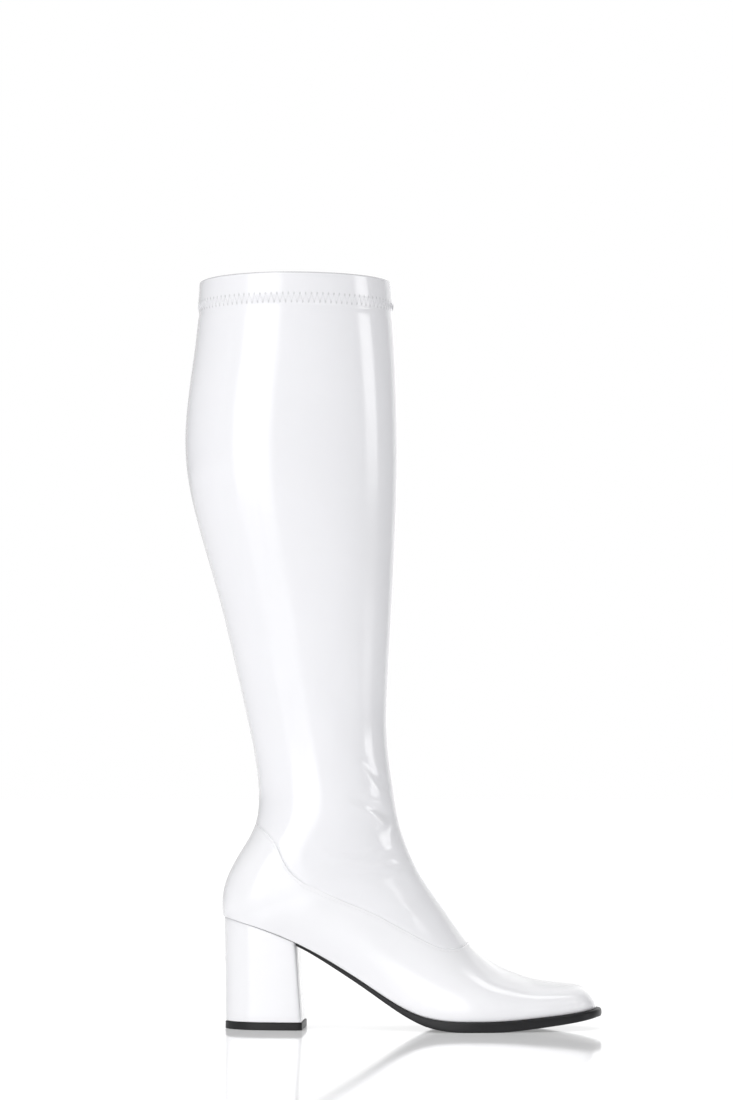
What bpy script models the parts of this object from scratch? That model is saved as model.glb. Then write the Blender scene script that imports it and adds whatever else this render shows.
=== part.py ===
"""A knee-high stretch boot with a block heel, for the right foot, in metres with +Z up.

The toe points along +X and the outer side of the foot faces -Y. The origin is the middle of the
top lift's underside, on the floor.

The skin of the foot and leg is a run of sections, fanned from the collar down to the ankle, round
the heel and along the foot to the toe. Seen from the side, a section is a straight line from the
back of the leg, or from the feather line where the upper meets the sole, to the front ridge.
"""
import bmesh
import bpy
import numpy as np

# Foot, from the last
FOOT_LENGTH = 0.2449        # back of the counter to the tip of the toe
BALL_WIDTH = 0.0796         # across the feather line at the ball
SEAT_WIDTH = 0.0540         # across the feather line at the heel seat
HEEL_HEIGHT = 0.0732        # floor to the back of the heel seat
FOREPART_HEIGHT = 0.0067    # floor to the feather line at the ball
TOE_SPRING = 0.0074         # rise of the feather line from the ball to the tip
INSTEP_RISE = 0.0500        # heel seat to the instep above it

# Leg
ANKLE_DEPTH = 0.0889
ANKLE_WIDTH = 0.0710
CALF_DEPTH = 0.1409
CALF_WIDTH = 0.1040
COLLAR_DEPTH = 0.1260
COLLAR_WIDTH = 0.1090
SHAFT_TOP = 0.4910          # floor to the collar

# Walls and pieces
GAP = 0.0003                # between pieces that touch
UPPER_WALL = 0.0018
SHAFT_WALL = 0.0012
HEM_DEPTH = 0.0175
HEM_STEP = 0.0008           # by which the hem stands proud
MARGIN_WIDTH = 0.0080       # upper turned in under the insole
INSOLE_INSET = 0.0038       # feather line to the edge of the insole
INSOLE_THICKNESS = 0.0025
SOLE_THICKNESS = 0.0065     # at the ball
WELT_WIDTH = 0.0023         # sole edge beyond the feather line at the ball
BREAST = 0.0502             # back of the counter to the top of the heel's front face
BREAST_RAKE = 0.0037        # by which that face leans forward at the floor
HEEL_INSET = 0.0012         # heel cover inside the feather line
HEEL_RAKE = 0.0011          # by which the heel's back leans forward at the floor
HEEL_TAPER = 0.96           # width at the floor over width at the seat
HEEL_CORNER = 0.0028        # radius of the front corners
LIFT_THICKNESS = 0.0047
LIFT_PROUD = 0.0004

# The heel seat starts this far inside the counter's fullest point
SEAT_START = 0.0020 * FOOT_LENGTH
LIFT_BACK = SEAT_START + HEEL_INSET + HEEL_RAKE - LIFT_PROUD
LIFT_FRONT = BREAST + BREAST_RAKE + LIFT_PROUD
HEEL_BACK = -(LIFT_BACK + LIFT_FRONT) / 2
ANKLE_HEIGHT = HEEL_HEIGHT + 1.65 * INSTEP_RISE

# Leg sections: height as a share from the ankle to the collar, shin as a share of the foot length,
# shares of the collar, calf and ankle sizes, widest point from the back, and the swell towards
# the inner side
LEG_COLUMNS = ("height", "shin", "collar", "calf", "ankle", "widest", "swell")
LEG = (
    (1.000, 0.4520, 1.00, 0.00, 0.00, 0.47, 0.00),
    (0.866, 0.4648, 0.52, 0.48, 0.00, 0.46, 0.01),
    (0.687, 0.4720, 0.00, 1.00, 0.00, 0.44, 0.02),
    (0.526, 0.4679, 0.00, 0.82, 0.18, 0.43, 0.02),
    (0.368, 0.4577, 0.00, 0.48, 0.52, 0.45, 0.01),
    (0.210, 0.4460, 0.00, 0.18, 0.82, 0.47, 0.00),
    (0.094, 0.4450, 0.00, 0.01, 0.99, 0.49, 0.00),
    (0.000, 0.4610, 0.00, 0.00, 1.00, 0.50, 0.00),
)
LEG_FULL = 0.50     # an ellipse

# Foot sections in the side view. Bottom end: share of the foot length, pull towards the back of
# the ankle, lift with the heel, rise with the toe spring, rise with the instep. Top end: share of
# the foot length, lift with the heel, rise with the instep. Last: sole thickness and sole edge
SIDE_COLUMNS = ("bottom", "ankle", "lift", "spring", "up", "top", "top_lift", "top_rise",
                "sole", "welt")
SIDE = (
    (0.0000, 0.848, 1.000, 0.000, 1.196, 0.4675, 1.00, 1.416, 0.00, 0.0),
    (0.0000, 0.459, 1.000, 0.000, 0.846, 0.4732, 1.00, 1.268, 0.00, 0.0),
    (0.0000, 0.087, 1.000, 0.000, 0.456, 0.4800, 1.00, 1.132, 0.00, 0.0),
    (0.0000, 0.000, 1.000, 0.000, 0.136, 0.4881, 1.00, 1.008, 0.00, 0.0),
    (0.0020, 0.000, 1.000, 0.000, 0.000, 0.4968, 1.00, 0.892, 0.12, 0.0),
    (0.0118, 0.000, 0.991, 0.000, 0.000, 0.5063, 0.97, 0.826, 0.12, 0.0),
    (0.0384, 0.000, 0.967, 0.000, 0.000, 0.5161, 0.94, 0.766, 0.12, 0.0),
    (0.0813, 0.000, 0.922, 0.000, 0.000, 0.5268, 0.90, 0.722, 0.14, 0.0),
    (0.1466, 0.000, 0.841, 0.000, 0.000, 0.5398, 0.84, 0.708, 0.18, 0.0),
    (0.2283, 0.000, 0.710, 0.000, 0.000, 0.5559, 0.74, 0.739, 0.26, 0.0),
    (0.3099, 0.000, 0.544, 0.000, 0.000, 0.5745, 0.62, 0.784, 0.40, 0.1),
    (0.3916, 0.000, 0.356, 0.000, 0.000, 0.5963, 0.47, 0.856, 0.48, 0.2),
    (0.4733, 0.000, 0.164, 0.000, 0.000, 0.6222, 0.30, 0.927, 0.60, 0.5),
    (0.5468, 0.000, 0.045, 0.000, 0.000, 0.6557, 0.15, 0.932, 0.83, 0.8),
    (0.6121, 0.000, 0.006, 0.000, 0.000, 0.6958, 0.05, 0.887, 0.97, 1.0),
    (0.6693, 0.000, 0.000, 0.000, 0.000, 0.7407, 0.00, 0.812, 1.00, 1.0),
    (0.7264, 0.000, 0.000, 0.014, 0.000, 0.7877, 0.00, 0.718, 1.02, 1.0),
    (0.7836, 0.000, 0.000, 0.108, 0.000, 0.8326, 0.00, 0.650, 1.01, 1.0),
    (0.8408, 0.000, 0.000, 0.284, 0.000, 0.8775, 0.00, 0.616, 0.97, 1.0),
    (0.8898, 0.000, 0.000, 0.446, 0.000, 0.9155, 0.00, 0.598, 0.92, 1.1),
    (0.9306, 0.000, 0.000, 0.608, 0.000, 0.9477, 0.00, 0.578, 0.89, 1.2),
    (0.9612, 0.000, 0.000, 0.757, 0.000, 0.9706, 0.00, 0.528, 0.86, 1.3),
    (0.9829, 0.000, 0.000, 0.878, 0.000, 0.9873, 0.00, 0.444, 0.84, 1.4),
    (0.9959, 0.000, 0.000, 0.959, 0.000, 0.9971, 0.00, 0.348, 0.82, 1.5),
    (1.0000, 0.000, 0.000, 1.000, 0.000, 1.0000, 0.00, 0.282, 0.81, 1.5),
)

# The same sections across the foot, as shares of half the width in the first column: feather line
# and fullest breadth on the outer and inner side. Then the widest point from the bottom, fullness
# of the curve below and above it, and the middle of the bottom and of the ridge towards the inner
# side, as shares of the same half width
BREADTH_COLUMNS = ("feather_out", "feather_in", "out", "in", "widest", "low", "high", "swing",
                   "ridge")
BREADTH = (
    (ANKLE_WIDTH, 0.00, 0.00, 1.01, 1.01, 0.50, 0.48, 0.50, 0.00, 0.03),
    (ANKLE_WIDTH, 0.00, 0.00, 1.00, 1.00, 0.50, 0.44, 0.50, 0.00, 0.05),
    (ANKLE_WIDTH, 0.00, 0.00, 0.99, 0.99, 0.51, 0.40, 0.50, 0.00, 0.06),
    (ANKLE_WIDTH, 0.00, 0.00, 0.98, 0.98, 0.52, 0.36, 0.50, 0.00, 0.07),
    (SEAT_WIDTH, 0.00, 0.00, 1.29, 1.28, 0.52, 0.34, 0.50, 0.00, 0.10),
    (SEAT_WIDTH, 0.37, 0.37, 1.28, 1.27, 0.52, 0.34, 0.50, 0.00, 0.10),
    (SEAT_WIDTH, 0.69, 0.68, 1.28, 1.26, 0.50, 0.35, 0.50, 0.00, 0.11),
    (SEAT_WIDTH, 0.92, 0.90, 1.28, 1.25, 0.48, 0.37, 0.49, 0.00, 0.12),
    (SEAT_WIDTH, 1.00, 0.97, 1.27, 1.24, 0.46, 0.40, 0.49, 0.00, 0.13),
    (BALL_WIDTH, 0.69, 0.62, 0.86, 0.83, 0.44, 0.42, 0.49, 0.00, 0.09),
    (BALL_WIDTH, 0.71, 0.53, 0.86, 0.80, 0.41, 0.44, 0.49, 0.00, 0.10),
    (BALL_WIDTH, 0.76, 0.52, 0.87, 0.80, 0.38, 0.45, 0.49, 0.00, 0.10),
    (BALL_WIDTH, 0.84, 0.60, 0.91, 0.83, 0.35, 0.46, 0.49, 0.00, 0.11),
    (BALL_WIDTH, 0.92, 0.77, 0.97, 0.90, 0.32, 0.46, 0.48, 0.00, 0.12),
    (BALL_WIDTH, 0.98, 0.91, 1.02, 0.98, 0.30, 0.46, 0.47, 0.00, 0.12),
    (BALL_WIDTH, 1.01, 0.99, 1.05, 1.03, 0.28, 0.45, 0.46, 0.01, 0.12),
    (BALL_WIDTH, 0.99, 0.98, 1.03, 1.02, 0.26, 0.45, 0.45, 0.03, 0.11),
    (BALL_WIDTH, 0.93, 0.93, 0.97, 0.97, 0.25, 0.44, 0.44, 0.05, 0.11),
    (BALL_WIDTH, 0.85, 0.85, 0.89, 0.89, 0.24, 0.43, 0.43, 0.06, 0.10),
    (BALL_WIDTH, 0.77, 0.77, 0.80, 0.80, 0.23, 0.42, 0.42, 0.07, 0.10),
    (BALL_WIDTH, 0.68, 0.68, 0.71, 0.71, 0.23, 0.42, 0.42, 0.08, 0.09),
    (BALL_WIDTH, 0.58, 0.58, 0.61, 0.61, 0.24, 0.42, 0.42, 0.08, 0.09),
    (BALL_WIDTH, 0.43, 0.43, 0.45, 0.45, 0.26, 0.43, 0.43, 0.08, 0.08),
    (BALL_WIDTH, 0.23, 0.23, 0.24, 0.24, 0.28, 0.44, 0.44, 0.08, 0.08),
    (BALL_WIDTH, 0.00, 0.00, 0.00, 0.00, 0.28, 0.44, 0.44, 0.08, 0.08),
)

# Seam between foot part and shaft, from the back of the ankle to the vamp: number of the section
# that it crosses, and share of the way from that section's bottom to its ridge
SEAM = (
    (7.98, 0.000),
    (8.38, 0.118),
    (9.20, 0.268),
    (10.4, 0.388),
    (11.8, 0.470),
    (13.2, 0.503),
    (14.6, 0.518),
    (15.9, 0.540),
    (17.1, 0.577),
    (18.3, 0.619),
    (19.4, 0.677),
    (20.2, 0.745),
    (20.73, 0.840),
    (21.02, 0.925),
    (21.10, 1.000),
)

LAST = len(LEG) + len(SIDE) - 1     # number of the section at the tip of the toe
CORNER = len(LEG) + 4               # number of the section at the back of the heel seat
OUTER, INNER = -1, 1


def fair(values, flat_start=False, flat_end=False):
    """Return the smooth cubic through values at 0, 1, 2 and so on, level at an end if asked."""
    values = np.asarray(values, float)
    count = len(values)
    system = np.eye(count)
    right = np.zeros(count)
    for row in range(1, count - 1):
        system[row, row - 1:row + 2] = 1, 4, 1
        right[row] = 6 * (values[row + 1] - 2 * values[row] + values[row - 1])
    if flat_start:
        system[0, :2] = 2, 1
        right[0] = 6 * (values[1] - values[0])
    if flat_end:
        system[-1, -2:] = 1, 2
        right[-1] = 6 * (values[-2] - values[-1])
    bend = np.linalg.solve(system, right)

    def curve(spot):
        low = np.clip(np.floor(spot).astype(int), 0, count - 2)
        ahead = spot - low
        behind = 1 - ahead
        straight = behind * values[low] + ahead * values[low + 1]
        return straight + ((behind**3 - behind) * bend[low]
                           + (ahead**3 - ahead) * bend[low + 1]) / 6

    return curve


def leg_section(row):
    """Ends and breadths of a level section of the leg."""
    part = dict(zip(LEG_COLUMNS, row))
    depth = (part["collar"] * COLLAR_DEPTH + part["calf"] * CALF_DEPTH
             + part["ankle"] * ANKLE_DEPTH)
    half = (part["collar"] * COLLAR_WIDTH + part["calf"] * CALF_WIDTH
            + part["ankle"] * ANKLE_WIDTH) / 2
    height = ANKLE_HEIGHT + part["height"] * (SHAFT_TOP - ANKLE_HEIGHT)
    front = HEEL_BACK + part["shin"] * FOOT_LENGTH
    return {"back_x": front - depth, "back_z": height, "front_x": front, "front_z": height,
            "feather_out": 0, "feather_in": 0, "swing": 0, "ridge": 0, "sole": 0, "welt": 0,
            "out": half * (1 - part["swell"]), "in": half * (1 + part["swell"]),
            "widest": part["widest"], "low": LEG_FULL, "high": LEG_FULL}


def foot_section(side_row, breadth_row):
    """Ends and breadths of a section of the foot."""
    part = dict(zip(SIDE_COLUMNS, side_row))
    across = dict(zip(BREADTH_COLUMNS, breadth_row[1:]))
    half = breadth_row[0] / 2
    front_x = HEEL_BACK + part["top"] * FOOT_LENGTH
    ankle_back = front_x - ANKLE_DEPTH
    back_x = (HEEL_BACK + part["bottom"] * FOOT_LENGTH
              + part["ankle"] * (ankle_back - HEEL_BACK))
    back_z = (FOREPART_HEIGHT + part["lift"] * (HEEL_HEIGHT - FOREPART_HEIGHT)
              + part["spring"] * TOE_SPRING + part["up"] * INSTEP_RISE)
    front_z = part["top_lift"] * HEEL_HEIGHT + part["top_rise"] * INSTEP_RISE
    section = {"back_x": back_x, "back_z": back_z, "front_x": front_x, "front_z": front_z,
               "sole": part["sole"] * SOLE_THICKNESS, "welt": part["welt"] * WELT_WIDTH}
    section.update({name: across[name] for name in ("widest", "low", "high")})
    for name in ("feather_out", "feather_in", "out", "in", "swing", "ridge"):
        section[name] = across[name] * half
    return section


def draw_lines():
    """Fair every measure of the sections into a curve that runs from collar to toe."""
    rows = [leg_section(row) for row in LEG]
    rows += [foot_section(side, breadth) for side, breadth in zip(SIDE, BREADTH)]
    rows[-1]["front_x"] = rows[-1]["back_x"]
    rows[-1]["front_z"] = rows[-1]["back_z"]
    table = {name: [row[name] for row in rows] for name in rows[0]}
    lines = {}
    for name in ("front_z", "out", "in", "sole", "welt"):
        lines[name] = fair(table[name])
    for name in ("front_x", "widest", "low", "high", "ridge"):
        lines[name] = fair(table[name], flat_end=True)
    for name in ("back_x", "back_z", "swing"):
        leg = fair(table[name][:CORNER + 1], flat_end=True)
        foot = fair(table[name][CORNER:], flat_start=True, flat_end=True)
        lines[name] = join_at_corner(leg, foot)
    for name in ("feather_out", "feather_in"):
        leg = fair(table[name][:CORNER + 1])
        foot = fair(table[name][CORNER:])
        lines[name] = join_at_corner(leg, foot)
    return lines


def join_at_corner(leg, foot):
    """One curve for the back of the leg, and another from the heel seat on."""
    return lambda spot: np.where(spot < CORNER, leg(np.minimum(spot, CORNER)),
                                 foot(np.maximum(spot, CORNER) - CORNER))


LINES = draw_lines()


def half_breadth(height, start, widest, low, high):
    """Breadth over the fullest breadth, for a height up the section as a share."""
    above = np.clip((height - widest) / (1 - widest), 0, 1)
    below = np.clip((widest - height) / widest, 0, 1)
    foot = np.clip(start, 0, 1) ** (1 / low)
    return np.where(height < widest, (1 - (1 - foot) * below**2) ** low, (1 - above**2) ** high)


def side_measures(spot, side):
    """Feather line and fullest breadth of the sections on one side, and the first over the last."""
    ends = ("feather_out", "out") if side == OUTER else ("feather_in", "in")
    feather, breadth = (np.clip(LINES[name](spot), 0, None) for name in ends)
    return feather, breadth, feather / np.maximum(breadth, GAP)


def climb(share, start):
    """Height up the section for a share of the way round it."""
    return np.sin(np.pi / 2 * share) ** (2 - np.clip(start, 0, 1))


def share_at(height, start):
    """Share of the way round the section for a height up it."""
    return np.arcsin(np.clip(height, 0, 1) ** (1 / (2 - np.clip(start, 0, 1)))) * 2 / np.pi


def skin(spot, share, side):
    """Points of the boot's outside, for numbers of sections and shares of the way round them."""
    feather, breadth, start = side_measures(spot, side)
    height = climb(share, start)
    at = {name: LINES[name](spot) for name in ("back_x", "back_z", "front_x", "front_z",
                                               "widest", "low", "high", "swing", "ridge")}
    half = breadth * half_breadth(height, start, at["widest"], at["low"], at["high"])
    middle = at["swing"] + (at["ridge"] - at["swing"]) * height**2
    return np.stack([at["back_x"] + height * (at["front_x"] - at["back_x"]),
                     middle + side * half,
                     at["back_z"] + height * (at["front_z"] - at["back_z"])], axis=-1)


def skin_grid(spots, low, high, columns, side):
    """Grid of skin points between two shares of each section."""
    steps = np.linspace(0, 1, columns + 1)
    shares = low[:, None] + (high - low)[:, None] * steps
    return skin(np.repeat(spots[:, None], columns + 1, axis=1), shares, side)


def feather_point(spot, side, inset):
    """Points of the feather line, moved in towards the middle of the foot by inset."""
    step = 0.001

    def plan(spot):
        feather = side_measures(spot, side)[0]
        return np.stack([LINES["back_x"](spot), LINES["swing"](spot) + side * feather], axis=-1)

    before = plan(np.clip(spot - step, CORNER, LAST))
    after = plan(np.clip(spot + step, CORNER, LAST))
    along = after - before
    along = along / np.linalg.norm(along, axis=-1, keepdims=True)
    inward = np.stack([along[..., 1], -along[..., 0]], axis=-1) * side
    return plan(spot) + inward * np.reshape(inset, (-1, 1))


def seat_height(x):
    """Height of the feather line over the floor at a place along the foot."""
    spots = np.linspace(CORNER, LAST, 400)
    along = LINES["back_x"](spots)
    return np.interp(x, along, LINES["back_z"](spots))


def seat_level(x, distance):
    """Height at a place along the foot of a sheet at a distance square to the feather line."""
    step = 0.001
    slope = (seat_height(x + step) - seat_height(x - step)) / (2 * step)
    return seat_height(x) + distance * np.sqrt(1 + slope**2)


def spot_at(x):
    """Number of the section whose feather line is at a place along the foot."""
    spots = np.linspace(CORNER, LAST, 400)
    return np.interp(x, LINES["back_x"](spots), spots)


def seam_line(back_steps, front_steps):
    """Seam as section numbers and shares round them, with a point at the heel seat's section."""
    across = fair([row[0] for row in SEAM])
    up = fair([row[1] for row in SEAM])
    fine = np.linspace(0, len(SEAM) - 1, 600)
    corner = np.interp(CORNER, across(fine), fine)
    steps = np.concatenate([np.linspace(0, corner, back_steps + 1),
                            np.linspace(corner, len(SEAM) - 1, front_steps + 1)[1:]])
    return across(steps), np.clip(up(steps), 0, 1)


def material(name, colour, roughness, coat=0.0):
    """Plain finish of one sub-part."""
    finish = bpy.data.materials.new(name)
    finish.use_nodes = True
    shader = finish.node_tree.nodes["Principled BSDF"]
    shader.inputs["Base Color"].default_value = (*colour, 1)
    shader.inputs["Roughness"].default_value = roughness
    shader.inputs["Coat Weight"].default_value = coat
    return finish


def add_object(name, bm, finish):
    """Close up doubled points and put the mesh in the scene under its node's name."""
    bmesh.ops.remove_doubles(bm, verts=bm.verts[:], dist=GAP / 30)
    mesh = bpy.data.meshes.new(name)
    bm.to_mesh(mesh)
    bm.free()
    mesh.shade_smooth()
    mesh.set_sharp_from_angle(angle=np.radians(40))
    mesh.materials.append(finish)
    piece = bpy.data.objects.new(name, mesh)
    piece.parent = BOOT
    bpy.context.scene.collection.objects.link(piece)
    return piece


def add_patch(bm, points, side):
    """Quads over a grid of points, facing out on either side of the boot."""
    rows, columns = points.shape[:2]
    verts = [[bm.verts.new(point) for point in row] for row in points]
    for row in range(rows - 1):
        for column in range(columns - 1):
            corners = [verts[row][column], verts[row + 1][column],
                       verts[row + 1][column + 1], verts[row][column + 1]]
            bm.faces.new(corners if side == OUTER else corners[::-1])


def add_loft(name, rings, finish):
    """Closed solid through rings of the same number of points, capped at both ends."""
    bm = bmesh.new()
    count = len(rings[0])
    verts = [[bm.verts.new(point) for point in ring] for ring in rings]
    for first, second in zip(verts, verts[1:]):
        for spot in range(count):
            after = (spot + 1) % count
            bm.faces.new((first[spot], first[after], second[after], second[spot]))
    for cap in (verts[0], verts[-1]):
        bm.faces.new(cap)
    bmesh.ops.remove_doubles(bm, verts=bm.verts[:], dist=GAP / 30)
    bmesh.ops.recalc_face_normals(bm, faces=bm.faces[:])
    return add_object(name, bm, finish)


def add_wall(piece, thickness):
    """Give a skin its real thickness, inwards."""
    wall = piece.modifiers.new("wall", "SOLIDIFY")
    wall.thickness = thickness
    wall.offset = -1
    wall.use_even_offset = True
    wall.use_quality_normals = True
    return wall


def trim_seam(points):
    """Draw a skin's seam edge back by the gap, square to the seam."""
    along = np.gradient(points[:, 0], axis=0)
    along /= np.maximum(np.linalg.norm(along, axis=-1, keepdims=True), GAP)
    away = points[:, 1] - points[:, 0]
    away -= np.sum(away * along, axis=-1, keepdims=True) * along
    length = np.linalg.norm(away, axis=-1, keepdims=True)
    trimmed = points.copy()
    trimmed[:, 0] += np.where(length > GAP, away / np.maximum(length, GAP) * GAP, 0)
    return trimmed


def make_upper(finish, columns=10, back_steps=6, front_steps=14, toe_steps=18):
    """Foot part: counter and vamp in one, up to the seam, with its margin turned in below."""
    seam_spots, seam_heights = seam_line(back_steps, front_steps)
    toe_spots = np.linspace(seam_spots[-1], LAST, toe_steps + 1)[1:]
    spots = np.concatenate([seam_spots, toe_spots])
    bm = bmesh.new()
    for side in (OUTER, INNER):
        start = side_measures(spots, side)[2]
        heights = np.concatenate([seam_heights, np.ones(toe_steps)])
        high = share_at(heights, start)
        add_patch(bm, skin_grid(spots, np.zeros(len(spots)), high, columns, side), side)
        under = spots[back_steps:]
        edge = skin(under, np.zeros(len(under)), side)
        turned = feather_point(under, side, MARGIN_WIDTH)
        turned = np.column_stack([turned, seat_height(turned[:, 0])])
        add_patch(bm, np.stack([turned, edge], axis=1), side)
    piece = add_object("upper", bm, finish)
    add_wall(piece, UPPER_WALL)
    return piece


def make_shaft(finish, columns=14, leg_steps=17, back_steps=6, front_steps=14):
    """Stretch leg from the seam to the collar, with its hem as a step in the wall."""
    seam_spots, seam_heights = seam_line(back_steps, front_steps)
    fine = np.linspace(0, 1, 50)
    hem = np.interp(HEM_DEPTH, SHAFT_TOP - LINES["back_z"](fine), fine)
    step_depth = hem + HEM_STEP / CALF_DEPTH
    leg_spots = np.linspace(step_depth, seam_spots[0], leg_steps + 1)[:-1]
    spots = np.concatenate([np.linspace(0, hem, 4), leg_spots, seam_spots])
    bm = bmesh.new()
    for side in (OUTER, INNER):
        start = side_measures(spots, side)[2]
        heights = np.concatenate([np.zeros(len(spots) - len(seam_spots)), seam_heights])
        low = share_at(heights, start)
        points = skin_grid(spots, low, np.ones(len(spots)), columns, side)
        first = len(spots) - len(seam_spots)
        points[first:] = trim_seam(points[first:])
        points[-1] = points[-1, -1] + (points[-2, -1] - points[-1, -1]) * GAP / np.linalg.norm(
            points[-2, -1] - points[-1, -1])
        add_patch(bm, points, side)
    bmesh.ops.remove_doubles(bm, verts=bm.verts[:], dist=GAP / 30)
    bm.normal_update()
    proud = [vert for vert in bm.verts if vert.co.z > SHAFT_TOP - HEM_DEPTH - GAP / 30]
    for vert in proud:
        vert.co += vert.normal * HEM_STEP
    for vert in proud:
        if vert.co.z > SHAFT_TOP - HEM_DEPTH / 6:
            vert.co.z = SHAFT_TOP
    thick = {round(vert.co.z, 7) for vert in proud}
    piece = add_object("shaft", bm, finish)
    wall = add_wall(piece, SHAFT_WALL + HEM_STEP)
    group = piece.vertex_groups.new(name="wall")
    for vert in piece.data.vertices:
        in_hem = round(vert.co.z, 7) in thick
        group.add([vert.index], 1 if in_hem else SHAFT_WALL / (SHAFT_WALL + HEM_STEP), "REPLACE")
    wall.vertex_group = group.name
    return piece


def flat_rings(spots, inset, low, high):
    """Rings of a sheet that follows the heel seat and the foot, between two heights over it."""
    outer = feather_point(spots, OUTER, inset)
    inner = feather_point(spots, INNER, inset)
    rings = []
    for out, into in zip(outer, inner):
        rings.append([(*out, seat_level(out[0], high)), (*out, seat_level(out[0], low)),
                      (*into, seat_level(into[0], low)), (*into, seat_level(into[0], high))])
    return rings


def make_insole(finish, steps=30):
    """Insole on the upper's turned-in margin."""
    low = UPPER_WALL + GAP
    rings = flat_rings(np.linspace(CORNER, LAST, steps + 1), INSOLE_INSET, low,
                       low + INSOLE_THICKNESS)
    return add_loft("insole", rings, finish)


def make_outsole(finish, steps=30):
    """Thin sole from the heel's front face to the toe, with a bevelled edge and a flat tread."""
    start = spot_at(HEEL_BACK + BREAST + GAP)
    spots = np.linspace(start, LAST, steps + 1)
    welt = LINES["welt"](spots)
    thickness = LINES["sole"](spots)
    bevel = 0.4 * welt
    levels = ((-welt + bevel, 0.0), (-welt, 0.35), (-welt, 0.85), (-welt + bevel / 2, 1.0))
    sides = []
    for side in (OUTER, INNER):
        sides.append([])
        for inset, drop in levels:
            plan = feather_point(spots, side, inset)
            top = seat_level(plan[:, 0], -GAP)
            floor = np.maximum(top - thickness, 0)
            sides[-1].append(np.column_stack([plan, top + drop * (floor - top)]))
    rings = [[level[step] for level in sides[0]] + [level[step] for level in sides[1][::-1]]
             for step in range(steps + 1)]
    return add_loft("outsole", rings, finish)


def heel_outline(steps, corner_steps, proud):
    """Outline of the heel in plan at the seat: points on the outer side, back to front."""
    front = HEEL_BACK + BREAST + proud
    corner = HEEL_CORNER
    spots = np.linspace(CORNER, spot_at(front - corner), steps + 1)
    side_points = {}
    for side in (OUTER, INNER):
        points = feather_point(spots, side, HEEL_INSET - proud)
        points[:, 0] = np.minimum(points[:, 0], front - corner)
        turn = np.radians(np.linspace(0, 90, corner_steps + 1))[1:]
        base = points[-1]
        arc = np.column_stack([base[0] + corner * np.sin(turn),
                               base[1] - side * corner * (1 - np.cos(turn))])
        side_points[side] = np.concatenate([points, arc])
    return side_points


def heel_rings(proud, top, bottom):
    """Rings of a block under the heel seat, from a height of the seat or floor to another."""
    outline = heel_outline(steps=14, corner_steps=4, proud=proud)
    back, front = HEEL_BACK + SEAT_START + HEEL_INSET - proud, HEEL_BACK + BREAST + proud

    def at_floor(point):
        along = (point[0] - back) / (front - back)
        shift = HEEL_RAKE + along * (BREAST_RAKE - HEEL_RAKE)
        return point[0] + shift, point[1] * HEEL_TAPER

    rings = []
    for out, into in zip(outline[OUTER], outline[INNER]):
        ring = []
        for point in (out, into):
            down = at_floor(point)
            high = (*point, seat_level(point[0], -GAP)) if top is None else (*down, top)
            low = (*down, bottom)
            ring += [high, low] if point is out else [low, high]
        rings.append(ring)
    return rings


def make_heel(finish):
    """Block heel with a rounded back, covered like the upper."""
    return add_loft("heel", heel_rings(0.0, None, LIFT_THICKNESS + GAP), finish)


def make_top_lift(finish):
    """Wearing piece under the heel."""
    return add_loft("top_lift", heel_rings(LIFT_PROUD, LIFT_THICKNESS, 0.0), finish)


for old in list(bpy.data.objects):
    bpy.data.objects.remove(old)
BOOT = bpy.data.objects.new("boot", None)
bpy.context.scene.collection.objects.link(BOOT)

patent = material("white_patent", (0.88, 0.88, 0.90), 0.08, coat=1.0)
stretch = material("white_stretch_patent", (0.87, 0.87, 0.90), 0.10, coat=1.0)
lining = material("insole_lining", (0.72, 0.70, 0.66), 0.70)
rubber = material("black_sole", (0.02, 0.02, 0.02), 0.35)

make_upper(patent)
make_shaft(stretch)
make_insole(lining)
make_outsole(rubber)
make_heel(patent)
make_top_lift(rubber)
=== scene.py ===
"""Looks of a knee-high stretch boot in white patent, for the right foot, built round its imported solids."""

import bmesh
import bpy
import numpy as np
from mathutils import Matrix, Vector


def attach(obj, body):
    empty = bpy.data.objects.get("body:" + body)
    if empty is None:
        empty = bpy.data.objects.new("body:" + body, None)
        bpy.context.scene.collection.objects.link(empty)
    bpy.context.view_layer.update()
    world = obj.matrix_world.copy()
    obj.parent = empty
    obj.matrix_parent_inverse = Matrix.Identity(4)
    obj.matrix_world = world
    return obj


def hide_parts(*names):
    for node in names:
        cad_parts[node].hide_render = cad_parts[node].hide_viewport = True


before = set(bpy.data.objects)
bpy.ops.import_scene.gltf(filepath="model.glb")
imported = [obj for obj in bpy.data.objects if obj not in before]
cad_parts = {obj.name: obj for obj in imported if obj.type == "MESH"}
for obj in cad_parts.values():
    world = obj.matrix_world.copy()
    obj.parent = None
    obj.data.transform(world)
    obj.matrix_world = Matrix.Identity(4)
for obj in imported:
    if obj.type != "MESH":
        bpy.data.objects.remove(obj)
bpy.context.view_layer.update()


# Stretch shaft: one tube of stretch patent on a knitted backing, pulled over the last and the leg
# form. A seam runs down its back, its lower edge is tucked under the foot part, and its top is
# turned in. Its shape is the last's and the leg's, so their sizes and sections come first

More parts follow.
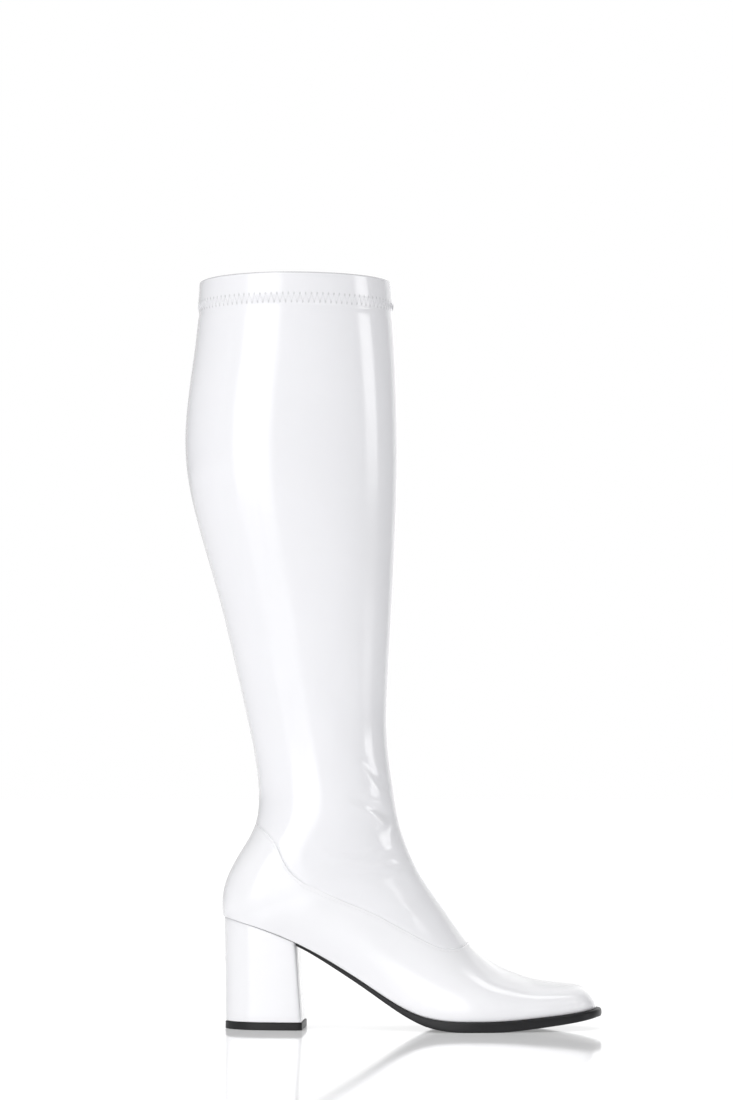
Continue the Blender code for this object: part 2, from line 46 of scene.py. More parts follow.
FOOT_LENGTH = 0.2449
BALL_WIDTH = 0.0796
SEAT_WIDTH = 0.0540
HEEL_HEIGHT = 0.0732
FOREPART_HEIGHT = 0.0067
TOE_SPRING = 0.0074
INSTEP_RISE = 0.0500
ANKLE_DEPTH = 0.0889
ANKLE_WIDTH = 0.0710
CALF_DEPTH = 0.1409
CALF_WIDTH = 0.1040
COLLAR_DEPTH = 0.1260
COLLAR_WIDTH = 0.1090
ANKLE_RISE = 1.65           # ankle over the heel seat, in rises of the instep
SHAFT_TOP = 0.4910
GAP = 0.0003                # between pieces that meet
SOLE_THICKNESS = 0.0065
WELT_WIDTH = 0.0023
BREAST = 0.0502             # back of the heel seat to the heel's front face
BREAST_RAKE = 0.0037        # its front face further forward at the lift
HEEL_INSET = 0.0012         # heel within the feather line
HEEL_RAKE = 0.0011          # its back further forward at the lift
SEAT_START = 0.0020 * FOOT_LENGTH
HEEL_BACK = -(SEAT_START + HEEL_INSET + HEEL_RAKE + BREAST + BREAST_RAKE) / 2
ANKLE_HEIGHT = HEEL_HEIGHT + ANKLE_RISE * INSTEP_RISE

# Leg sections, from the collar down
LEG_COLUMNS = ("height", "shin", "collar", "calf", "ankle", "widest", "swell")
LEG = (
    (1.000, 0.4520, 1.00, 0.00, 0.00, 0.47, 0.00),
    (0.866, 0.4648, 0.52, 0.48, 0.00, 0.46, 0.01),
    (0.687, 0.4720, 0.00, 1.00, 0.00, 0.44, 0.02),
    (0.526, 0.4679, 0.00, 0.82, 0.18, 0.43, 0.02),
    (0.368, 0.4577, 0.00, 0.48, 0.52, 0.45, 0.01),
    (0.210, 0.4460, 0.00, 0.18, 0.82, 0.47, 0.00),
    (0.094, 0.4450, 0.00, 0.01, 0.99, 0.49, 0.00),
    (0.000, 0.4610, 0.00, 0.00, 1.00, 0.50, 0.00),
)

# Foot sections in the side view, fanned round the heel and along to the toe
SIDE_COLUMNS = ("bottom", "ankle", "lift", "spring", "up", "top", "top_lift", "top_rise",
                "sole", "welt")
SIDE = (
    (0.0000, 0.848, 1.000, 0.000, 1.196, 0.4675, 1.00, 1.416, 0.00, 0.0),
    (0.0000, 0.459, 1.000, 0.000, 0.846, 0.4732, 1.00, 1.268, 0.00, 0.0),
    (0.0000, 0.087, 1.000, 0.000, 0.456, 0.4800, 1.00, 1.132, 0.00, 0.0),
    (0.0000, 0.000, 1.000, 0.000, 0.136, 0.4881, 1.00, 1.008, 0.00, 0.0),
    (0.0020, 0.000, 1.000, 0.000, 0.000, 0.4968, 1.00, 0.892, 0.12, 0.0),
    (0.0118, 0.000, 0.991, 0.000, 0.000, 0.5063, 0.97, 0.826, 0.12, 0.0),
    (0.0384, 0.000, 0.967, 0.000, 0.000, 0.5161, 0.94, 0.766, 0.12, 0.0),
    (0.0813, 0.000, 0.922, 0.000, 0.000, 0.5268, 0.90, 0.722, 0.14, 0.0),
    (0.1466, 0.000, 0.841, 0.000, 0.000, 0.5398, 0.84, 0.708, 0.18, 0.0),
    (0.2283, 0.000, 0.710, 0.000, 0.000, 0.5559, 0.74, 0.739, 0.26, 0.0),
    (0.3099, 0.000, 0.544, 0.000, 0.000, 0.5745, 0.62, 0.784, 0.40, 0.1),
    (0.3916, 0.000, 0.356, 0.000, 0.000, 0.5963, 0.47, 0.856, 0.48, 0.2),
    (0.4733, 0.000, 0.164, 0.000, 0.000, 0.6222, 0.30, 0.927, 0.60, 0.5),
    (0.5468, 0.000, 0.045, 0.000, 0.000, 0.6557, 0.15, 0.932, 0.83, 0.8),
    (0.6121, 0.000, 0.006, 0.000, 0.000, 0.6958, 0.05, 0.887, 0.97, 1.0),
    (0.6693, 0.000, 0.000, 0.000, 0.000, 0.7407, 0.00, 0.812, 1.00, 1.0),
    (0.7264, 0.000, 0.000, 0.014, 0.000, 0.7877, 0.00, 0.718, 1.02, 1.0),
    (0.7836, 0.000, 0.000, 0.108, 0.000, 0.8326, 0.00, 0.650, 1.01, 1.0),
    (0.8408, 0.000, 0.000, 0.284, 0.000, 0.8775, 0.00, 0.616, 0.97, 1.0),
    (0.8898, 0.000, 0.000, 0.446, 0.000, 0.9155, 0.00, 0.598, 0.92, 1.1),
    (0.9306, 0.000, 0.000, 0.608, 0.000, 0.9477, 0.00, 0.578, 0.89, 1.2),
    (0.9612, 0.000, 0.000, 0.757, 0.000, 0.9706, 0.00, 0.528, 0.86, 1.3),
    (0.9829, 0.000, 0.000, 0.878, 0.000, 0.9873, 0.00, 0.444, 0.84, 1.4),
    (0.9959, 0.000, 0.000, 0.959, 0.000, 0.9971, 0.00, 0.348, 0.82, 1.5),
    (1.0000, 0.000, 0.000, 1.000, 0.000, 1.0000, 0.00, 0.282, 0.81, 1.5),
)

# The same sections across the foot
BREADTH_COLUMNS = ("feather_out", "feather_in", "out", "in", "widest", "low", "high", "swing",
                   "ridge")
BREADTH = (
    (ANKLE_WIDTH, 0.00, 0.00, 1.01, 1.01, 0.50, 0.48, 0.50, 0.00, 0.03),
    (ANKLE_WIDTH, 0.00, 0.00, 1.00, 1.00, 0.50, 0.44, 0.50, 0.00, 0.05),
    (ANKLE_WIDTH, 0.00, 0.00, 0.99, 0.99, 0.51, 0.40, 0.50, 0.00, 0.06),
    (ANKLE_WIDTH, 0.00, 0.00, 0.98, 0.98, 0.52, 0.36, 0.50, 0.00, 0.07),
    (SEAT_WIDTH, 0.00, 0.00, 1.29, 1.28, 0.52, 0.34, 0.50, 0.00, 0.10),
    (SEAT_WIDTH, 0.37, 0.37, 1.28, 1.27, 0.52, 0.34, 0.50, 0.00, 0.10),
    (SEAT_WIDTH, 0.69, 0.68, 1.28, 1.26, 0.50, 0.35, 0.50, 0.00, 0.11),
    (SEAT_WIDTH, 0.92, 0.90, 1.28, 1.25, 0.48, 0.37, 0.49, 0.00, 0.12),
    (SEAT_WIDTH, 1.00, 0.97, 1.27, 1.24, 0.46, 0.40, 0.49, 0.00, 0.13),
    (BALL_WIDTH, 0.69, 0.62, 0.86, 0.83, 0.44, 0.42, 0.49, 0.00, 0.09),
    (BALL_WIDTH, 0.71, 0.53, 0.86, 0.80, 0.41, 0.44, 0.49, 0.00, 0.10),
    (BALL_WIDTH, 0.76, 0.52, 0.87, 0.80, 0.38, 0.45, 0.49, 0.00, 0.10),
    (BALL_WIDTH, 0.84, 0.60, 0.91, 0.83, 0.35, 0.46, 0.49, 0.00, 0.11),
    (BALL_WIDTH, 0.92, 0.77, 0.97, 0.90, 0.32, 0.46, 0.48, 0.00, 0.12),
    (BALL_WIDTH, 0.98, 0.91, 1.02, 0.98, 0.30, 0.46, 0.47, 0.00, 0.12),
    (BALL_WIDTH, 1.01, 0.99, 1.05, 1.03, 0.28, 0.45, 0.46, 0.01, 0.12),
    (BALL_WIDTH, 0.99, 0.98, 1.03, 1.02, 0.26, 0.45, 0.45, 0.03, 0.11),
    (BALL_WIDTH, 0.93, 0.93, 0.97, 0.97, 0.25, 0.44, 0.44, 0.05, 0.11),
    (BALL_WIDTH, 0.85, 0.85, 0.89, 0.89, 0.24, 0.43, 0.43, 0.06, 0.10),
    (BALL_WIDTH, 0.77, 0.77, 0.80, 0.80, 0.23, 0.42, 0.42, 0.07, 0.10),
    (BALL_WIDTH, 0.68, 0.68, 0.71, 0.71, 0.23, 0.42, 0.42, 0.08, 0.09),
    (BALL_WIDTH, 0.58, 0.58, 0.61, 0.61, 0.24, 0.42, 0.42, 0.08, 0.09),
    (BALL_WIDTH, 0.43, 0.43, 0.45, 0.45, 0.26, 0.43, 0.43, 0.08, 0.08),
    (BALL_WIDTH, 0.23, 0.23, 0.24, 0.24, 0.28, 0.44, 0.44, 0.08, 0.08),
    (BALL_WIDTH, 0.00, 0.00, 0.00, 0.00, 0.28, 0.44, 0.44, 0.08, 0.08),
)

# Seam between shaft and foot part, from the back of the ankle to the vamp: section, height up it
SEAM = (
    (7.98, 0.000),
    (8.38, 0.118),
    (9.20, 0.268),
    (10.4, 0.388),
    (11.8, 0.470),
    (13.2, 0.503),
    (14.6, 0.518),
    (15.9, 0.540),
    (17.1, 0.577),
    (18.3, 0.619),
    (19.4, 0.677),
    (20.2, 0.745),
    (20.73, 0.840),
    (21.02, 0.925),
    (21.10, 1.000),
)

LAST = len(LEG) + len(SIDE) - 1
CORNER = len(LEG) + 4
OUTER, INNER = -1, 1


def fair(values, flat_start=False, flat_end=False):
    """Return the smooth cubic through values at 0, 1, 2 and so on, level at an end if asked."""
    values = np.asarray(values, float)
    count = len(values)
    system = np.eye(count)
    right = np.zeros(count)
    for row in range(1, count - 1):
        system[row, row - 1:row + 2] = 1, 4, 1
        right[row] = 6 * (values[row + 1] - 2 * values[row] + values[row - 1])
    if flat_start:
        system[0, :2] = 2, 1
        right[0] = 6 * (values[1] - values[0])
    if flat_end:
        system[-1, -2:] = 1, 2
        right[-1] = 6 * (values[-2] - values[-1])
    bend = np.linalg.solve(system, right)

    def curve(spot):
        low = np.clip(np.floor(spot).astype(int), 0, count - 2)
        ahead = spot - low
        behind = 1 - ahead
        straight = behind * values[low] + ahead * values[low + 1]
        return straight + ((behind**3 - behind) * bend[low]
                           + (ahead**3 - ahead) * bend[low + 1]) / 6

    return curve


def leg_section(row):
    """Ends and breadths of a level section of the leg."""
    part = dict(zip(LEG_COLUMNS, row))
    depth = (part["collar"] * COLLAR_DEPTH + part["calf"] * CALF_DEPTH
             + part["ankle"] * ANKLE_DEPTH)
    half = (part["collar"] * COLLAR_WIDTH + part["calf"] * CALF_WIDTH
            + part["ankle"] * ANKLE_WIDTH) / 2
    height = ANKLE_HEIGHT + part["height"] * (SHAFT_TOP - ANKLE_HEIGHT)
    front = HEEL_BACK + part["shin"] * FOOT_LENGTH
    return {"back_x": front - depth, "back_z": height, "front_x": front, "front_z": height,
            "feather_out": 0, "feather_in": 0, "swing": 0, "ridge": 0, "sole": 0, "welt": 0,
            "out": half * (1 - part["swell"]), "in": half * (1 + part["swell"]),
            "widest": part["widest"], "low": 0.5, "high": 0.5}


def foot_section(side_row, breadth_row):
    """Ends and breadths of a section of the foot."""
    part = dict(zip(SIDE_COLUMNS, side_row))
    across = dict(zip(BREADTH_COLUMNS, breadth_row[1:]))
    half = breadth_row[0] / 2
    front_x = HEEL_BACK + part["top"] * FOOT_LENGTH
    ankle_back = front_x - ANKLE_DEPTH
    back_x = (HEEL_BACK + part["bottom"] * FOOT_LENGTH
              + part["ankle"] * (ankle_back - HEEL_BACK))
    back_z = (FOREPART_HEIGHT + part["lift"] * (HEEL_HEIGHT - FOREPART_HEIGHT)
              + part["spring"] * TOE_SPRING + part["up"] * INSTEP_RISE)
    front_z = part["top_lift"] * HEEL_HEIGHT + part["top_rise"] * INSTEP_RISE
    section = {"back_x": back_x, "back_z": back_z, "front_x": front_x, "front_z": front_z,
               "sole": part["sole"] * SOLE_THICKNESS, "welt": part["welt"] * WELT_WIDTH}
    section.update({name: across[name] for name in ("widest", "low", "high")})
    for name in ("feather_out", "feather_in", "out", "in", "swing", "ridge"):
        section[name] = across[name] * half
    return section


def draw_lines():
    """Fair every measure of the sections into a curve that runs from collar to toe."""
    rows = [leg_section(row) for row in LEG]
    rows += [foot_section(side, breadth) for side, breadth in zip(SIDE, BREADTH)]
    rows[-1]["front_x"] = rows[-1]["back_x"]
    rows[-1]["front_z"] = rows[-1]["back_z"]
    table = {name: [row[name] for row in rows] for name in rows[0]}
    lines = {}
    for name in ("front_z", "out", "in", "sole", "welt"):
        lines[name] = fair(table[name])
    for name in ("front_x", "widest", "low", "high", "ridge"):
        lines[name] = fair(table[name], flat_end=True)
    for name in ("back_x", "back_z", "swing"):
        leg = fair(table[name][:CORNER + 1], flat_end=True)
        foot = fair(table[name][CORNER:], flat_start=True, flat_end=True)
        lines[name] = join_at_corner(leg, foot)
    for name in ("feather_out", "feather_in"):
        leg = fair(table[name][:CORNER + 1])
        foot = fair(table[name][CORNER:])
        lines[name] = join_at_corner(leg, foot)
    return lines


def join_at_corner(leg, foot):
    """One curve for the back of the leg, and another from the heel seat on."""
    return lambda spot: np.where(spot < CORNER, leg(np.minimum(spot, CORNER)),
                                 foot(np.maximum(spot, CORNER) - CORNER))


LINES = draw_lines()


def half_breadth(height, start, widest, low, high):
    """Breadth over the fullest breadth, for a height up the section as a share."""
    above = np.clip((height - widest) / (1 - widest), 0, 1)
    below = np.clip((widest - height) / widest, 0, 1)
    foot = np.clip(start, 0, 1) ** (1 / low)
    return np.where(height < widest, (1 - (1 - foot) * below**2) ** low, (1 - above**2) ** high)


def side_measures(spot, side):
    """Feather line and fullest breadth of the sections on one side, and the first over the last."""
    ends = ("feather_out", "out") if side == OUTER else ("feather_in", "in")
    feather, breadth = (np.clip(LINES[name](spot), 0, None) for name in ends)
    return feather, breadth, feather / np.maximum(breadth, GAP)


def climb(share, start):
    """Height up the section for a share of the way round it."""
    return np.sin(np.pi / 2 * share) ** (2 - np.clip(start, 0, 1))


def share_at(height, start):
    """Share of the way round the section for a height up it."""
    return np.arcsin(np.clip(height, 0, 1) ** (1 / (2 - np.clip(start, 0, 1)))) * 2 / np.pi


def skin(spot, share, side):
    """Points of the boot's outside, for numbers of sections and shares of the way round them."""
    feather, breadth, start = side_measures(spot, side)
    height = climb(share, start)
    at = {name: LINES[name](spot) for name in ("back_x", "back_z", "front_x", "front_z",
                                               "widest", "low", "high", "swing", "ridge")}
    half = breadth * half_breadth(height, start, at["widest"], at["low"], at["high"])
    middle = at["swing"] + (at["ridge"] - at["swing"]) * height**2
    return np.stack([at["back_x"] + height * (at["front_x"] - at["back_x"]),
                     middle + side * half,
                     at["back_z"] + height * (at["front_z"] - at["back_z"])], axis=-1)


def at_height(spots, heights, side):
    """Points of the boot's outside, for numbers of sections and heights up them."""
    return skin(spots, share_at(heights, side_measures(spots, side)[2]), side)


SHAFT_WALL = 0.0012
LEG_ROW = 0.0024            # between rows of points down the leg
HEM_ROW = 0.0006            # between them over the hem
SEAM_ROWS = 110             # rows of points along the seam
SIDE_STEPS = 62             # columns of points on each side of the boot
HEM_STEP = 0.0008           # hem proud of the leg
HEM_DEPTH = 0.0175          # rim to the lower edge of the turned-in hem
HEM_REACH = 0.0060          # close rows below the hem
LEVEL_RIM = 0.0030          # top of the hem, which stays level
PINCH_DEPTH = 0.00035       # waist that the stitching draws in under the hem
PINCH_PLACE = 0.0042        # lower edge of the hem to the waist
PINCH_WIDTH = 0.0022
STITCH_PITCH = 0.0037       # a full zigzag of the hem stitching
ZIGZAG_WIDTH = 0.0052
ZIGZAG_DEPTH = 0.0167       # rim to the middle of the stitching
HOLE_RADIUS = 0.00065       # painted shade and dent round a needle hole
RIM_SHADE_DEPTH = 0.0011           # painted shade along the rolled edge of the rim
TUCK = 0.0015               # shaft under the edge of the foot part
TUCK_SINK = 0.00060         # how far it is pressed in there
LEG_MIDDLE = 0.0300         # place along the foot between the back and the front of the leg
BACK_SEAM_END = 0.1250      # height where the back seam goes under the foot part
BACK_SEAM_DEPTH = 0.00035
BACK_SEAM_WIDTH = 0.0005
ALLOWANCE_RISE = 0.00012    # seam allowance that shows on both sides of the back seam
ALLOWANCE_PLACE = 0.0022
ALLOWANCE_WIDTH = 0.0012


def bell(distance, width):
    """1 at no distance, falling off smoothly over a width."""
    return np.exp(-(distance / width) ** 2)


def smooth(value, low, high):
    """Rise from 0 at low to 1 at high with level ends."""
    share = np.clip((value - low) / (high - low), 0, 1)
    return share * share * (3 - 2 * share)


def seam_shifted(spots, heights, shift):
    """Move points of the seam within the skin, square to it and towards the foot, by shift."""
    step = 0.002
    start = side_measures(spots, OUTER)[2]

    def at(spot, height):
        return skin(spot, share_at(np.clip(height, 0, 1), start), OUTER)

    inside = np.clip(heights, step, 1 - step)
    by_spot = (at(spots + step, inside) - at(spots - step, inside)) / (2 * step)
    by_height = (at(spots, inside + step) - at(spots, inside - step)) / (2 * step)
    along = np.gradient(at(spots, heights), axis=0)
    square = np.cross(np.cross(by_height, by_spot), along)
    square *= shift / np.linalg.norm(square, axis=1, keepdims=True)
    if np.dot(square[0], by_spot[0]) < 0:
        square = -square
    moved_spots, moved_heights = spots.copy(), heights.copy()
    for row in range(len(spots)):
        base = np.stack([by_spot[row], by_height[row]], axis=1)
        move = np.linalg.lstsq(base, square[row], rcond=None)[0]
        if heights[row] > 1 - step or heights[row] < step:
            move = np.array([shift / np.linalg.norm(by_spot[row]), 0])
        moved_spots[row] += move[0]
        moved_heights[row] = np.clip(heights[row] + move[1], 0, 1)
    rows, clear = np.arange(len(spots)), np.abs(spots - CORNER) > 0.6
    moved_spots = np.interp(rows, rows[clear], moved_spots[clear])
    moved_heights = np.interp(rows, rows[clear], moved_heights[clear])
    return moved_spots, moved_heights


def seam_path(count, shift=0.0):
    """Sections and heights along the seam, closer together round its front."""
    across = fair([row[0] for row in SEAM])
    up = fair([row[1] for row in SEAM])
    fine = np.linspace(0, len(SEAM) - 1, 1200)
    line = at_height(across(fine), up(fine), OUTER)
    length = np.concatenate([[0], np.cumsum(np.linalg.norm(np.diff(line, axis=0), axis=1))])
    corner = np.interp(CORNER, across(fine), length)
    back = int(count * corner / length[-1])
    even = np.concatenate([np.linspace(0, corner, back + 1),
                           np.linspace(corner, length[-1], count - back + 1)[1:]])
    steps = np.interp(even, length, fine)
    spots, heights = across(steps), np.clip(up(steps), 0, 1)
    heights[-1] = 1
    return seam_shifted(spots, heights, shift) if shift else (spots, heights)


def seam_loop(shift=0.0):
    """Closed line of points along the seam, down both sides of the boot."""
    spots, heights = seam_path(400, shift)
    outer, inner = (at_height(spots, heights, side) for side in (OUTER, INNER))
    return np.concatenate([outer, inner[::-1]])


def sew(patches):
    """Join grids of points into one mesh: points, quads, and one array for each of their fields.

    A patch is a grid of points, the side that it lies on, and a dictionary of its fields."""
    points = np.concatenate([patch[0].reshape(-1, 3) for patch in patches])
    keys = np.round(points, 6) + 0.0
    first, index = np.unique(keys, axis=0, return_index=True, return_inverse=True)[1:]
    index = index.reshape(-1)
    faces, start = [], 0
    for grid, side, fields in patches:
        rows, columns = grid.shape[:2]
        ids = index[start:start + rows * columns].reshape(rows, columns)
        start += rows * columns
        quads = np.stack([ids[:-1, :-1], ids[1:, :-1], ids[1:, 1:], ids[:-1, 1:]], axis=-1)
        quads = quads.reshape(-1, 4)
        for quad in (quads if side == OUTER else quads[:, ::-1]).tolist():
            corners = list(dict.fromkeys(quad))
            if len(corners) > 2:
                faces.append(corners)
    fields = {name: np.concatenate([np.broadcast_to(patch[2][name], patch[0].shape[:2]).ravel()
                                    for patch in patches])[first] for name in patches[0][2]}
    return points[first], faces, fields


def outward(points, faces):
    """Unit normals of a mesh at its points."""
    mesh = bpy.data.meshes.new("normals")
    mesh.from_pydata(points.tolist(), [], faces)
    normals = np.zeros(len(points) * 3)
    mesh.vertex_normals.foreach_get("vector", normals)
    bpy.data.meshes.remove(mesh)
    return normals.reshape(-1, 3)


def add_object(name, data):
    """Object of the scene with its data."""
    made = bpy.data.objects.new(name, data)
    bpy.context.scene.collection.objects.link(made)
    return made


def add_piece(name, points, faces, materials, fields=None):
    """Object with a smooth mesh, its materials, and its fields as attributes."""
    mesh = bpy.data.meshes.new(name)
    mesh.from_pydata(np.asarray(points).tolist(), [], faces)
    for field, values in (fields or {}).items():
        mesh.attributes.new(field, "FLOAT", "POINT").data.foreach_set("value",
                                                                      values.astype(np.float32))
    for finish in materials:
        mesh.materials.append(finish)
    mesh.shade_smooth()
    return add_object(name, mesh)


def near(points, line):
    """Distance from each point to a line of points."""
    line = np.asarray(line)
    nearest = np.full(len(points), 1.0)
    for start in range(0, len(points), 4000):
        part = points[start:start + 4000]
        ahead, behind = line[1:], line[:-1]
        span = ahead - behind
        length = np.maximum(np.sum(span**2, axis=1), 1e-14)
        along = np.clip(np.einsum("psk,sk->ps", part[:, None] - behind, span) / length, 0, 1)
        gap = part[:, None] - (behind + along[..., None] * span)
        nearest[start:start + 4000] = np.sqrt(np.min(np.sum(gap**2, axis=2), axis=1))
    return nearest


def add_wall(points, faces, normals, wall):
    """Points and faces of a solid wall inside a skin: the skin, its inside, and its edges."""
    count = len(points)
    edges = {edge for face in faces for edge in zip(face, face[1:] + face[:1])}
    ends = [(far, near_end, near_end + count, far + count)
            for near_end, far in edges if (far, near_end) not in edges]
    inside = [[corner + count for corner in face[::-1]] for face in faces]
    inner = points - normals * np.reshape(wall, (-1, 1))
    return np.concatenate([points, inner]), faces + inside + ends


def line_inside(piece, count, top=SHAFT_TOP):
    """Give the inside of a wall, with count faces, its second material up to a height."""
    for face in piece.data.polygons[count:2 * count]:
        face.material_index = int(face.center.z < top)


# Creases at the front of the ankle, where the stretch patent gathers over the instep. Each runs
# through (section, height) points, as a soft trough with a ridge on its lower side
RIDGE_PLACE = 1.3           # middle of the trough to the ridge, in widths of the trough
RIDGE_WIDTH = 0.9
CREASE_COLUMNS = ("side", "width", "depth", "ridge", "line")
CREASES = (
    (OUTER, 0.0030, 0.00050, 0.00030, ((6.10, 0.74), (6.50, 0.85), (6.85, 0.93), (7.10, 1.00))),
    (OUTER, 0.0034, 0.00075, 0.00045, ((7.10, 0.68), (7.70, 0.83), (8.35, 0.92), (9.05, 1.00))),
    (OUTER, 0.0030, 0.00030, 0.00040, ((7.95, 0.86), (8.70, 0.92), (9.40, 0.94), (10.2, 0.91))),
    (OUTER, 0.0026, 0.00055, 0.00035, ((9.90, 0.58), (10.7, 0.72), (11.3, 0.85), (12.2, 0.98))),
    (OUTER, 0.0026, 0.00055, 0.00040, ((11.2, 0.68), (12.1, 0.81), (13.2, 0.89), (14.4, 0.98))),
    (OUTER, 0.0048, 0.00045, 0.00020, ((12.0, 0.60), (13.3, 0.74), (14.6, 0.84), (15.6, 0.93))),
    (OUTER, 0.0055, 0.00000, 0.00030, ((15.8, 0.78), (16.9, 0.83), (17.6, 0.87))),
    (OUTER, 0.0050, 0.00000, 0.00025, ((17.5, 0.70), (18.3, 0.74), (18.9, 0.77))),
    (OUTER, 0.0080, 0.00035, 0.00015, ((4.60, 0.62), (5.30, 0.70), (6.10, 0.78))),
    (OUTER, 0.0070, 0.00030, 0.00020, ((9.00, 0.40), (9.90, 0.52), (10.7, 0.60))),
    (INNER, 0.0036, 0.00045, 0.00035, ((6.20, 0.82), (6.60, 0.90), (7.00, 0.99))),
    (INNER, 0.0034, 0.00060, 0.00050, ((7.60, 0.76), (8.20, 0.86), (9.05, 1.00))),
    (INNER, 0.0030, 0.00050, 0.00045, ((10.4, 0.72), (11.0, 0.84), (11.8, 0.97))),
    (INNER, 0.0032, 0.00045, 0.00040, ((12.0, 0.76), (13.0, 0.87), (14.0, 0.97))),
    (INNER, 0.0050, 0.00030, 0.00025, ((14.6, 0.72), (15.8, 0.82), (16.6, 0.90))),
)


def crease_relief(points, normals):
    """How far the creases raise or sink each point of the skin."""
    relief = np.zeros(len(points))
    for row in CREASES:
        crease = dict(zip(CREASE_COLUMNS, row))
        line = np.array(crease["line"])
        fine = np.linspace(0, len(line) - 1, 60)
        spots, heights = fair(line[:, 0])(fine), np.clip(fair(line[:, 1])(fine), 0, 1)
        path = at_height(spots, heights, crease["side"])
        reach = np.where(near(points, path[::10]) < 6 * crease["width"])[0]
        if not len(reach):
            continue
        gap = points[reach, None] - path
        nearest = np.argmin(np.sum(gap**2, axis=2), axis=1)
        gap = gap[np.arange(len(reach)), nearest]
        along = np.gradient(path, axis=0)[nearest]
        along /= np.linalg.norm(along, axis=1, keepdims=True)
        across = np.cross(normals[reach], along)
        across *= np.where(across[:, 2:] > 0, -1, 1)
        down = np.sum(gap * across, axis=1) / crease["width"]
        past = np.sum(gap * along, axis=1) / crease["width"]
        taper = np.sin(np.pi * np.clip(fine[nearest] / (len(line) - 1), 0, 1)) ** 0.7
        taper = taper * bell(past, 1)
        relief[reach] += taper * (crease["ridge"] * bell(down - RIDGE_PLACE, RIDGE_WIDTH)
                                  - crease["depth"] * bell(down, 1))
    return relief


def shaft_rows():
    """Sections and heights of the shaft's rows: the rounded rim, the leg, and the seam."""
    rim = 0.5 * (SHAFT_WALL + HEM_STEP)
    turn = np.radians([80, 62, 45, 28, 12, 0])
    down = rim * (1 - np.sin(turn))
    hem = np.arange(rim + HEM_ROW, HEM_DEPTH + HEM_REACH, HEM_ROW)
    seam_spots, seam_heights = seam_path(SEAM_ROWS, TUCK)
    fine = np.linspace(0, len(LEG) + 1, 3000)
    drop = SHAFT_TOP - LINES["back_z"](fine)
    end = np.interp(seam_spots[0], fine, drop)
    leg = np.arange(hem[-1] + LEG_ROW, end - LEG_ROW / 2, LEG_ROW)
    leg_spots = np.interp(np.concatenate([down, hem, leg]), drop, fine)
    spots = np.concatenate([leg_spots, seam_spots])
    heights = np.concatenate([np.zeros(len(leg_spots)), seam_heights])
    return spots, heights, rim * (1 - np.cos(np.append(turn, np.zeros(len(spots) - len(turn)))))


def shaft_patches():
    """Grids of the shaft's skin on both sides."""
    spots, heights, rounding = shaft_rows()
    edge = np.array([0, 0.0035, 0.008, 0.014, 0.022, 0.034])
    columns = np.concatenate([edge, np.linspace(0.05, 1, SIDE_STEPS - len(edge))])
    patches = []
    for side in (OUTER, INNER):
        low = share_at(heights, side_measures(spots, side)[2])[:, None]
        shares = low + (1 - low) * columns
        grid = skin(np.repeat(spots[:, None], len(columns), axis=1), shares, side)
        grid[-1] = grid[-1, -1]
        arc = np.cumsum(np.linalg.norm(np.diff(grid[20], axis=0), axis=1))
        around = np.broadcast_to(np.concatenate([[0], arc]), grid.shape[:2])
        patches.append((grid, side, {"rounding": rounding[:, None], "around": around}))
    return patches


def plug(tree, node, inputs):
    """Set a node's inputs to values, or link them to other nodes' outputs."""
    for name, value in inputs.items():
        if isinstance(value, bpy.types.NodeSocket):
            tree.links.new(value, node.inputs[name])
        else:
            node.inputs[name].default_value = value


def add_node(tree, kind, inputs=None, **settings):
    """Node of a tree, with its settings and its inputs."""
    node = tree.nodes.new(kind)
    for name, value in settings.items():
        setattr(node, name, value)
    plug(tree, node, inputs or {})
    return node


def maths(tree, operation, *values):
    """Output of a sum on values or on other nodes' outputs."""
    node = add_node(tree, "ShaderNodeMath", dict(enumerate(values)), operation=operation)
    return node.outputs["Value"]


def mixed(tree, factor, first, second):
    """Colour between two others, by another node's output."""
    node = add_node(tree, "ShaderNodeMix", data_type="RGBA")
    plug(tree, node, {"Factor": factor, "A": first, "B": second})
    return node.outputs["Result"]


def new_finish(name):
    """Material, with its node tree and its shader."""
    finish = bpy.data.materials.new(name)
    finish.use_nodes = True
    return finish, finish.node_tree, finish.node_tree.nodes["Principled BSDF"]


def new_group(name, kind, inputs, outputs):
    """Node group with its sockets, each a name and a kind of value, and its two end nodes."""
    tree = bpy.data.node_groups.new(name, kind)
    for way, sockets in (("INPUT", inputs), ("OUTPUT", outputs)):
        for socket, value in sockets:
            tree.interface.new_socket(socket, in_out=way, socket_type="NodeSocket" + value)
    return tree, tree.nodes.new("NodeGroupInput"), tree.nodes.new("NodeGroupOutput")


